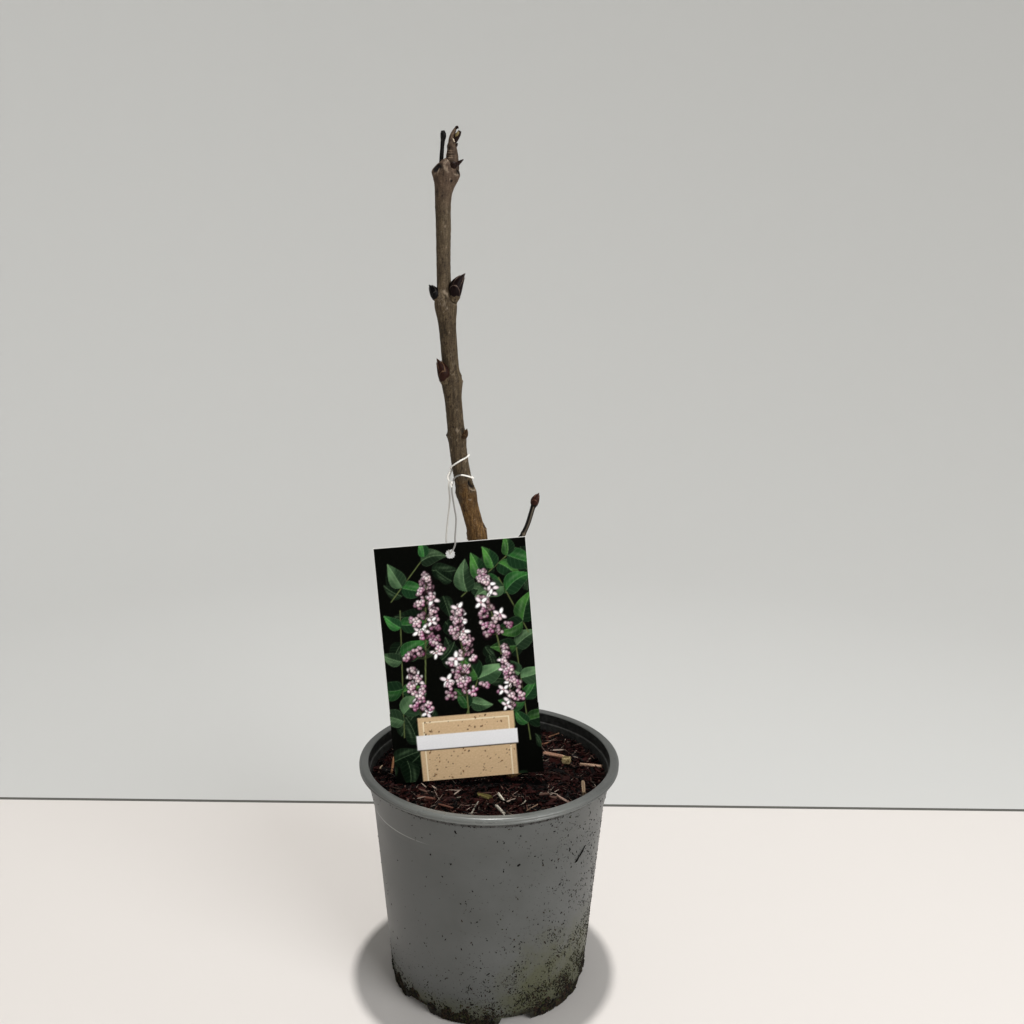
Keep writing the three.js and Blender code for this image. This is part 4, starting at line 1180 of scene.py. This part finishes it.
# A full flower head: little bunches of round buds, the far ones dark, the near ones pale, a few of them open.
def paintHead(sheet, foot, top, width, groups, dice):
    foot, axis = np.array(foot, float), np.array(top, float) - foot
    across = np.array((axis[1], -axis[0])) / np.linalg.norm(axis)
    stalk = screenColour(labelInk["stalk"])
    paintLine(sheet, foot - axis * 0.3, foot + axis * 0.6, 0.9, stalk)
    bunches = []
    for i in range(groups):
        t = (i + dice.random()) / groups
        reach = width / 2 * (1 - t)**0.75
        nearness = dice.random() * (1 - 0.3 * t)
        bunches.append((nearness, t, foot + axis * t + across * reach * dice.uniform(-1, 1)))
    for nearness, t, spot in sorted(bunches):
        paintLine(sheet, foot + axis * max(t - 0.12, 0), spot, 0.45, stalk * 0.6, 0.8)
        paintDab(sheet, *(spot + (0.3, -0.5)), 2.7, 2.5, 0, screenColour(labelInk["headShade"]), 0, 1.5)
        if dice.random() < 0.16:
            paintStar(sheet, *spot, dice.uniform(3.8, 5.4), dice.uniform(0, 1.6), dice)
            continue
        spread = 2.6 - 0.8 * t
        for k in range(7):
            turn, out = dice.uniform(0, 6.28), spread * (0 if k == 6 else dice.uniform(0.6, 1))
            tone = screenColour(dice.choice(labelInk["buds"][:4] if nearness > 0.35 else labelInk["buds"]))
            faded = (tone + (screenColour(labelInk["budTop"]) - tone) * 0.45 * t) * (0.62 + 0.38 * nearness)
            length, width = dice.uniform(1.25, 1.6), dice.uniform(1.1, 1.35)
            paintDab(sheet, *(spot + polar(out, turn)), length, width, turn, faded, 0.75 * nearness + 0.2)


# Leafy twigs and flower heads over dim leaves.
def paintFlowers(sheet, dice):
    darks, lights = ([screenColour(tone) for tone in labelInk[key]] for key in ("leafDark", "leafLight"))
    for _ in range(labelInk["dimLeaves"]):
        x, y, length, turn, bend = (
            dice.uniform(*span) for span in ((-5, 95), (-5, 150), (9, 22), (0, 6.28), (-0.4, 0.4)))
        paintLeaf(sheet, x, y, length, turn, darks[0] * 0.45, darks[2] * 0.6, bend, 0.5)
    for (x0, y0), (x1, y1), pairs, length in labelInk["branches"]:
        paintLine(sheet, (x0, y0), (x1, y1), 0.7, screenColour(labelInk["stalk"]))
        heading = math.atan2(y1 - y0, x1 - x0)
        for k in range(pairs):
            for side in (-1, 1):
                t = (k + dice.uniform(0.35, 0.8)) / pairs
                tone = dice.randrange(3)
                glow = dice.uniform(0.55, 1.05)
                turn = heading + side * dice.uniform(0.5, 1.5)
                grown, bend = length * dice.uniform(0.65, 1.2), dice.uniform(-0.5, 0.5)
                paintLeaf(sheet, x0 + (x1 - x0) * t, y0 + (y1 - y0) * t, grown, turn,
                          darks[tone] * glow, lights[tone] * glow, bend)
    for head in labelInk["heads"]:
        paintHead(sheet, *head, dice)


# A bare panel of speckled kraft paper with a thin border, and a bare strip across it.
def paintPanel(sheet, dice):
    x0, y0, x1, y1 = labelInk["panel"]
    inset, kraft = labelInk["lineInset"], screenColour(labelInk["panelColour"])
    pulp = noiseField(sheet.x / 1.5, sheet.y, 0 * sheet.x, 0.8)
    paintBox(sheet, (x0, y0 - 1, x1, y1), kraft * (1 + 0.07 * pulp[:, None] * (0.8, 1, 1.3)))
    corners = [(x0 + inset, y0), (x0 + inset, y1 - inset), (x1 - inset, y1 - inset), (x1 - inset, y0)]
    for start, end in zip(corners, corners[1:]):
        paintLine(sheet, start, end, 0.6, screenColour(labelInk["line"]))
    for _ in range(labelInk["specks"]):
        spot = (dice.uniform(x0 + 1, x1 - 1), dice.uniform(y0, y1 - 1))
        size = dice.choice((0.16, 0.2, 0.26, 0.42))
        paintDab(sheet, *spot, size * dice.uniform(1, 2), size, dice.uniform(0, 3),
                 kraft * dice.uniform(0.2, 0.75) * (1, 0.8, 0.6), 0)
    x0, y0, x1, y1 = labelInk["strip"]
    paintBox(sheet, (x0 + 0.4, y0 - 0.7, x1 + 0.2, y0 + 1), kraft * 0.22)  # its shadow
    paintBox(sheet, (x0, y0, x1, y1), screenColour(labelInk["stripColour"]))


def paintPrint(sheet):
    dice = random.Random(labelInk["seed"])
    paintFlowers(sheet, dice)
    paintPanel(sheet, dice)
    sheet.ink *= (1 + 0.02 * noiseField(sheet.x, sheet.y, 0 * sheet.x, 0.9))[:, None]


# Coated card: a glossy printed face that hardly reflects at this angle, and a bare white back and edge.
def printedCard():
    face, add, shader = startMaterial("glossy printed card", "1a1f18", 0.45, Specular_IOR_Level=0.02)
    feed(shader, Base_Color=add("Attribute", attribute_name="ink"),
         Normal=addRelief(add, add("TexCoord").outputs["Object"], 14, 2, 0.15, 1))
    board, add, shader = startMaterial("bleached board", "e6e5e0", 0.7)
    fibres = add("TexNoise", add("TexCoord").outputs["Object"], 1 / (0.5 * mm), 4)
    feed(shader, Base_Color=add("ValToRGB", fibres, stops=[(0.3, "dddcd6"), (0.7, "ecebe7")]))
    return face, board


def makeLabel():
    across, up = (int(card[key] / labelInk["cell"]) for key in ("width", "height"))
    piece = addShape("grid", "label_card_printed", x_subdivisions=across, y_subdivisions=up, size=1)
    mesh = piece.data
    for material in printedCard():
        mesh.materials.append(material)
    spots = (readArray(mesh.vertices, "co")[:, :2] + 0.5) * (card["width"], card["height"])
    hole = np.array((card["width"] / 2, card["height"] - card["holeDrop"]))
    away = spots - hole
    distance = np.linalg.norm(away, axis=1)
    rim = np.abs(distance - card["holeRadius"]) < 0.75 * labelInk["cell"]  # points moved on to its edge
    spots[rim] = hole + away[rim] / distance[rim, None] * card["holeRadius"]
    x, y = spots.T
    sheet = Sheet(x, y, labelInk["ground"])
    paintPrint(sheet)
    aside = (np.abs(x - card["width"] / 2) > card["width"] / 2 - 0.01) & (y > labelInk["edgeFoot"])
    cut = aside | (y > card["height"] - 0.01)
    sheet.ink[cut] = screenColour(labelInk["edge"])  # the cut edge shows white
    colour = mesh.attributes.new("ink", "FLOAT_COLOR", "POINT")
    colours = np.ones((len(x), 4), np.float32)
    colours[:, :3] = linearColour(np.clip(sheet.ink, 0, 1))
    colour.data.foreach_set("color", colours.ravel())
    mesh.vertices.foreach_set("co", (onCard(x, y, 0 * x) * mm).ravel())
    bpy.ops.object.mode_set(mode="EDIT")
    bpy.ops.mesh.select_mode(type="FACE")
    bpy.ops.mesh.select_all(action="DESELECT")
    bpy.ops.object.mode_set(mode="OBJECT")
    corners = readArray(mesh.loops, "vertex_index", 1, np.int32).reshape(-1, 4)
    mesh.polygons.foreach_set("select", (distance[corners] < card["holeRadius"] - 0.01).any(axis=1))
    bpy.ops.object.mode_set(mode="EDIT")
    bpy.ops.mesh.delete(type="FACE")
    bpy.ops.mesh.select_mode(type="EDGE")
    bpy.ops.mesh.select_all(action="DESELECT")
    bpy.ops.mesh.select_non_manifold()
    piece.active_material_index = 1  # the filled back is bare board
    front = cardAxes()[3]
    bpy.ops.mesh.extrude_region_move(TRANSFORM_OT_translate={"value": tuple(-front * card["thickness"] * mm)})
    bpy.ops.mesh.fill(use_beauty=True)
    bpy.ops.mesh.select_mode(type="FACE")
    bpy.ops.mesh.select_all(action="SELECT")
    bpy.ops.mesh.normals_make_consistent(inside=False)
    bpy.ops.object.mode_set(mode="OBJECT")
    printed = readArray(mesh.polygons, "normal") @ front > 0.9
    mesh.polygons.foreach_set("material_index", (~printed).astype(np.int32))
    mesh.update()
    settle(piece, "label_card", "label_card")


makeLabel()
print("label is printed")


elastic = {  # mm and degrees
    "radius": 0.5, "snug": 1.05, "rows": 620, "strands": 3, "braid": 900,
    "frontShadeFrom": 293.5, "shadedTo": 337,  # painted shade: greyed above the one height on the cord's first stretch, and below the other on its last
    "winding": (  # round the stem: angle and height
        (204, 338.4), (232, 341.2), (268, 342.7), (310, 341.6), (350, 339.8), (405, 340), (450, 341.6),
        (495, 343.6), (540, 345.4), (585, 348), (630, 351), (675, 353.2), (715, 354.2), (765, 352.6),
        (815, 349.4), (862, 345.2)),
    "lastTurn": (893, 341.6, 1.2),  # and how far it stands off there
    "ends": (  # the loop and the end beside the knot: route, radii, rows
        (((-24.6, 3.7, 338.2), (-26.2, 3.8, 339.4), (-26.7, 4, 341.4), (-25.9, 4.2, 343.2),
          (-25.2, 4, 344.6)), (0.5,), 60),
        (((-24.9, 3.4, 337.4), (-24.3, 3, 335.6), (-23.9, 3, 335)), (0.5, 0.5, 0.4), 30)),
    "knot": (((-25.1, 3.3, 337.4), (-23.7, 3.6, 338.4)), ((-25, 3.8, 338.5), (-23.8, 3.1, 337.1))),
}


def stemSpot(angle, z, extra=0):
    turn, height = np.radians([angle]), np.array([float(z)])
    x, y = polar(stemRadius(height, turn)[0] + elastic["snug"] + extra, turn[0])
    return stemMeasure(height, 1)[0] + x, stemMeasure(height, 2)[0] + y, z


# Thin elastic cord: polyester braided over rubber, white and a little shiny, with a very fine braid.
def braidedElastic():
    material, add, shader = startMaterial("braided polyester", "eeece6", 0.5, Sheen_Weight=0.3)
    tone = add("Attribute", attribute_name="tone").outputs["Fac"]
    feed(shader, Base_Color=add("ValToRGB", tone, stops=[(0, "6e6d6b"), (0.75, "e9e6de"), (1, "faf8f3")]))
    return material


def makeElastic():
    cover = braidedElastic()

    def inCard(x, y, out):  # from the middle of the hole
        return onCard(card["width"] / 2 + x, card["height"] - card["holeDrop"] + y, out)[0]

    behind = -card["thickness"]
    front = [inCard(0.1, 0.3, behind / 2 + 0.75), inCard(0.8, 1.3, 1.1), inCard(2.6, 3.8, 1.3),
             inCard(3.7, 6.8, 1.4), inCard(3.8, 9.6, 1.3),
             (-21.5, 1.5, 316), (-22.7, 3, 323), (-24.2, 4.8, 333.6)]
    rear = [(-26.2, 6.6, 336.4), (-25.6, 5.8, 326), (-26.8, 4.4, 314), inCard(-1.9, 8, behind - 1.6),
            inCard(-1.2, 3.4, behind - 1.2), inCard(-0.3, 0.6, behind - 0.8),
            inCard(0, -0.2, behind / 2 - 0.75)]
    winding = [stemSpot(angle, z) for angle, z in elastic["winding"]]
    last = stemSpot(*elastic["lastTurn"])

    def braided(t, angle, centre):
        strand, pitch = elastic["strands"] * angle, elastic["braid"] * t
        twill = np.sin(strand + pitch) * np.sin(strand - pitch)
        height = centre[:, 2]
        # painted shade: the cord is greyed above one height on its first stretch and below another on its
        # last
        frontShade = np.clip((height - elastic["frontShadeFrom"]) / 3, 0, 1) * (t < 0.3)
        shaded = np.clip((elastic["shadedTo"] - height) / 3, 0, 1) * (t > 0.6)
        return 0.03 * twill, 0.8 + 0.2 * twill - 0.7 * frontShade - 0.4 * shaded

    def clean(t, angle, centre):
        return 0 * t, 0 * t + 0.85

    route = [*front, *winding, last, *rear]
    parts = [limbPiece("cord", route, [elastic["radius"]], 12, elastic["rows"], cover, braided)]
    for route, radii, rows in elastic["ends"]:
        parts.append(limbPiece("end", route, radii, 12, rows, cover, clean))
    for start, end in elastic["knot"]:
        middle = (np.array(start) + end) / 2 + (0, -0.6, 0)
        parts.append(limbPiece("knot", [start, middle, end], [0.5, 0.75, 0.5], 12, 16, cover, clean))
    settle(joinPieces("elastic_cord", parts), "elastic", "label_elastic")


makeElastic()
print("elastic is wound")


chips = {  # mm and degrees: middle, heading, length, width, thickness, colour, depth of its grain and pith
    "chip_long": (43.4, 23.6, -29, 14, 3.6, 1.8, "b58d77", 0.6, 0),
    "chip_square": (51.4, 13.5, -24, 4.9, 4.2, 4.6, "b3a078", 0.5, 1.6),
    "chip_split": (67.6, 9.6, -13, 14, 2.8, 1.4, "bf9f88", 1.7, 0),
    "chip_upright": (60.4, -24, -93, 16, 2.5, 2, "a68f76", 1.1, 0),
    "chip_olive": (-2.5, -34.8, -39, 9.5, 5, 1.4, "5f5626", 0.8, 0),
}
slivers = (  # from, to, width and colour
    ((43.5, -34), (51, -43.5), 1.7, "a98d80"), ((6.5, -31), (9.8, -41), 1.9, "cfc9ba"),
    ((-64.9, 17), (-63.9, -5.3), 1.6, "9c7050"), ((-72.2, 0.2), (-71.1, 4.6), 1.4, "bda98e"),
    ((-5.4, -41.6), (-9.7, -57.8), 1.1, "a9a498"), ((5.5, -47), (10.5, -57.6), 2, "d6d0c3"),
    ((38.8, 51.2), (48.3, 59), 0.9, "8e6a52"), ((24, -52), (31, -44), 0.8, "8d7460"),
    ((-30, -47), (-21, -52), 1.3, "70483a"), ((-44, -38), (-33, -41), 1.8, "6e4639"),
    ((30, 38), (41, 44), 1.2, "7c553f"), ((18, 60), (26, 54), 1, "94765e"),
    ((-40, 48), (-30, 56), 1.4, "8a6a50"), ((-58, 30), (-50, 38), 1.1, "9b7d62"),
    ((0, 66), (12, 69), 1.2, "8d6c50"), ((20.5, -45), (24, -39), 0.8, "a39a8c"),
    ((33, -29), (40, -31), 0.7, "8f8478"), ((-24, -40), (-17, -37), 0.7, "8a8074"),
)


# Split conifer wood from the bark: pale, dry and fibrous, with long grain.
def splitWood(colour):
    material, add, shader = startMaterial("split softwood " + colour, colour, 0.75, Specular_IOR_Level=0.3)
    specks = add("TexNoise", add("TexCoord").outputs["Object"], 1 / (0.8 * mm), 4, 0.7)
    tone = add("Math", specks, add("Attribute", attribute_name="tone").outputs["Fac"], operation="ADD")
    dark = add("HueSaturation", Saturation=1.25, Value=0.25, Color=colour)
    grained = add("Mix", add("MapRange", tone, 0.35, 0.75, 1, 0), colour, dark, data_type="RGBA")
    feed(shader, Base_Color=grained, Normal=add("Bump", Height=specks, Strength=0.5, Distance=0.3 * mm))
    return material


def makeChip(name, x, y, heading, length, width, thickness, colour, grain=0.8, pith=0.0):
    piece = addShape("cube", name, size=1)
    editAll()
    bpy.ops.mesh.subdivide(number_cuts=11)
    bpy.ops.object.mode_set(mode="OBJECT")
    a, b, c = readArray(piece.data.vertices, "co").T
    cos, sin = polar(1, math.radians(heading))
    ends = [compostHeight(x + s * length / 2 * cos, y + s * length / 2 * sin) for s in (-1, 0, 1)]
    fibre = noiseField(b * 9 + x, c * 5 + y, a * 1.2 + length)
    ragged = noiseField(b * 7 + x, c * 4 + y, 0 * a + length)
    along = length * a + 0.16 * min(length, 3 * width) * ragged * np.abs(2 * a)**3
    slim = (1 - 0.1 * np.abs(2 * a)**4) * (1 - 0.15 * np.abs(2 * c)**4)
    aside = width * b * slim + 0.1 * width * np.sin(2.4 * a)
    up = thickness * (c + 0.5) * (1 - 0.25 * np.abs(2 * b)**4) + 0.14 * thickness * fibre
    lift = max(ends) + 0.45  # it lies on the loose pieces
    points = np.stack([x + along * cos - aside * sin, y + along * sin + aside * cos, lift + up], axis=1)
    piece.data.vertices.foreach_set("co", (points * mm).ravel())
    middle = np.clip(1.6 - 4 * np.maximum(np.abs(a), np.abs(b)), 0, 1)
    pointAttribute(piece, "tone", grain * fibre - 0.4 * pith * middle)
    piece.data.materials.append(splitWood(colour))
    bpy.ops.object.shade_smooth_by_angle(angle=math.radians(50))
    return piece


def makeChips():
    for name, chip in chips.items():
        settle(makeChip(name + "_split", *chip), "bark_chip", name)
    parts = []
    for (x0, y0), (x1, y1), width, colour in slivers:
        length, heading = math.hypot(x1 - x0, y1 - y0), math.degrees(math.atan2(y1 - y0, x1 - x0))
        middle = (x0 + x1) / 2, (y0 + y1) / 2
        parts.append(makeChip("sliver", *middle, heading, length, width, 0.7 * width, colour))
    settle(joinPieces("wood_slivers", parts), "bark_chip")


makeChips()
print("chips lie on the compost")


potDirt = {  # mm and degrees; angles run from the right (0), the front is -90
    "flecks": 9500, "crust": 5600, "seed": 44, "size": (0.3, 1.2), "underLip": 120,
    "soil": (("dried mud", "0c0907"), ("dry soil", "2a1f17"), ("green slime", "2c2e18")),
    "fleckShares": (7, 2, 1), "crustShares": (5, 4, 2),
    "lump": (32.5, -54.5, 1.6), "lumpSize": 3.2, "lumpCrumbs": 14,
    "clear": (7, 11.5),  # the notches stay clean up to this height, and this far to each side
    "smear": (((61.4, -43, 117.5), (58.9, -46.2, 114), (54.9, -50.1, 109.2)),
              (0.1, 0.35, 0.3, 0.6, 0.4, 0.5, 0.3, 0.55, 0.7, 0.2), 10, 40),
    "hair": (((-9.8, -67.6, 33), (-10.9, -67.6, 30.6), (-10.6, -67.6, 29), (-13, -66.7, 26.4)),
             (0.12, 0.2, 0.14, 0.1), 8, 30),
}


def wallPlace(angle, z, out):
    widest, high = pot["wallFoot"]
    foot = np.interp(z, (0, 1, 3.5, high), (pot["footRadius"], widest - 1.2, widest - 0.6, widest))
    return (*polar((outerRadius(z) if z > high else foot) + out, angle), z)


# Where a crumb sticks to the wall.
def stick(dice, angle, z, size, flat, sink, tall=1.0):
    z = max(z, 0.9 * size * tall)  # nothing reaches below the foot
    roll = dice.gauss(0, 0.7 if tall > 1 else 3)
    shape = (flat, size * dice.uniform(0.6, 1), size * tall)
    return matrixAt(wallPlace(angle, z, flat * 0.3 - sink), shape, angle, 0, roll)


# Whether a spot on the wall is inside one of the cut-outs of the foot.
def inNotch(angle, z):
    step = 360 / pot["notches"]
    height, reach = potDirt["clear"]
    return z < height and abs((math.degrees(angle) - pot["firstNotch"] + step / 2) % step - step / 2) < reach


# Splashes all round, most of them low down on the front right, and grit caught under the lip.
def makeFlecks(dice, shapes, soil):
    flecks = []
    while len(flecks) < potDirt["flecks"]:
        angle = dice.uniform(-math.pi, math.pi)
        z = 2 + 149 * dice.random()**1.35
        side, drop, spray = bell(turnFrom(angle, -35) / math.radians(42)), bell(z / 15), bell(z / 40)
        patchy = 0.5 + noise.noise(Vector((angle * 5, z / 14, 3))) * 1.4
        chance = (0.007 + side * (0.12 + 0.8 * spray) + 0.5 * drop) * max(patchy, 0.05)
        if dice.random() > chance or inNotch(angle, z):
            continue
        low, high = potDirt["size"]
        size = (low + (high - low) * dice.random()**2) * (1 + 0.3 * drop)
        size *= 1 if dice.random() < 0.95 else 1.5
        flecks.append((dice.choice(shapes), stick(dice, angle, z, size, 0.35, 0.04, dice.uniform(1.01, 1.9)),
                       dice.choices(range(3), potDirt["fleckShares"])[0]))
    for _ in range(potDirt["underLip"]):
        angle, size = dice.gauss(-math.pi / 2, 0.75), dice.uniform(0.35, 0.9)
        flecks.append((dice.choice(shapes), stick(dice, angle, dice.uniform(149, 151.3), size, 0.5, 0), 0))
    settle(scatterPiece("pot_dirt_flecks", flecks, soil), "pot_plastic")


# Soil caked round the foot, heaviest at both sides of the front, and one lump on the floor's edge.
def makeCrust(dice, shapes, soil):
    crust = []
    while len(crust) < potDirt["crust"]:
        angle = dice.uniform(-math.pi, math.pi)
        heavy = max(bell(turnFrom(angle, -132) / 0.36), 0.9 * bell(turnFrom(angle, -42) / 0.5))
        ragged = max(0.2 + noise.noise(Vector((angle * 7, 2, 4))), 0)
        z = 0.8 + (4 + 3 * heavy + 13 * ragged) * dice.random()**1.4
        patchy = 0.45 + noise.noise(Vector((angle * 9, z / 6, 9))) * 1.5
        if inNotch(angle, z) or dice.random() > (0.45 + 0.6 * heavy) * max(patchy, 0):
            continue
        size = dice.uniform(0.7, 1.6 + 2 * heavy)
        crust.append((dice.choice(shapes), stick(dice, angle, z, size, dice.uniform(0.5, 1.3), 0.15),
                      dice.choices(range(3), potDirt["crustShares"])[0]))
    size = potDirt["lumpSize"]
    for _ in range(potDirt["lumpCrumbs"]):
        crumb = size * dice.uniform(0.3, 0.6)
        x, y, z = (c + dice.uniform(-0.4, 0.4) * size for c in potDirt["lump"])
        crust.append((dice.choice(shapes), matrixAt((x, y, max(z, 0.7 * crumb)), crumb), 0))
    settle(scatterPiece("pot_soil_crust", crust, soil), "bark_compost")


def makeDirt():
    dice = random.Random(potDirt["seed"])
    shapes = [crumbShape(dice) for _ in range(4)]
    soil = [startMaterial(*tone, 0.85, Specular_IOR_Level=0.15)[0] for tone in potDirt["soil"]]
    makeFlecks(dice, shapes, soil)
    makeCrust(dice, shapes, soil)
    streaks = [limbPiece(name, *potDirt[name], soil[0]) for name in ("smear", "hair")]
    settle(joinPieces("pot_dried_smears", streaks), "pot_plastic")


makeDirt()
print("pot is soiled")
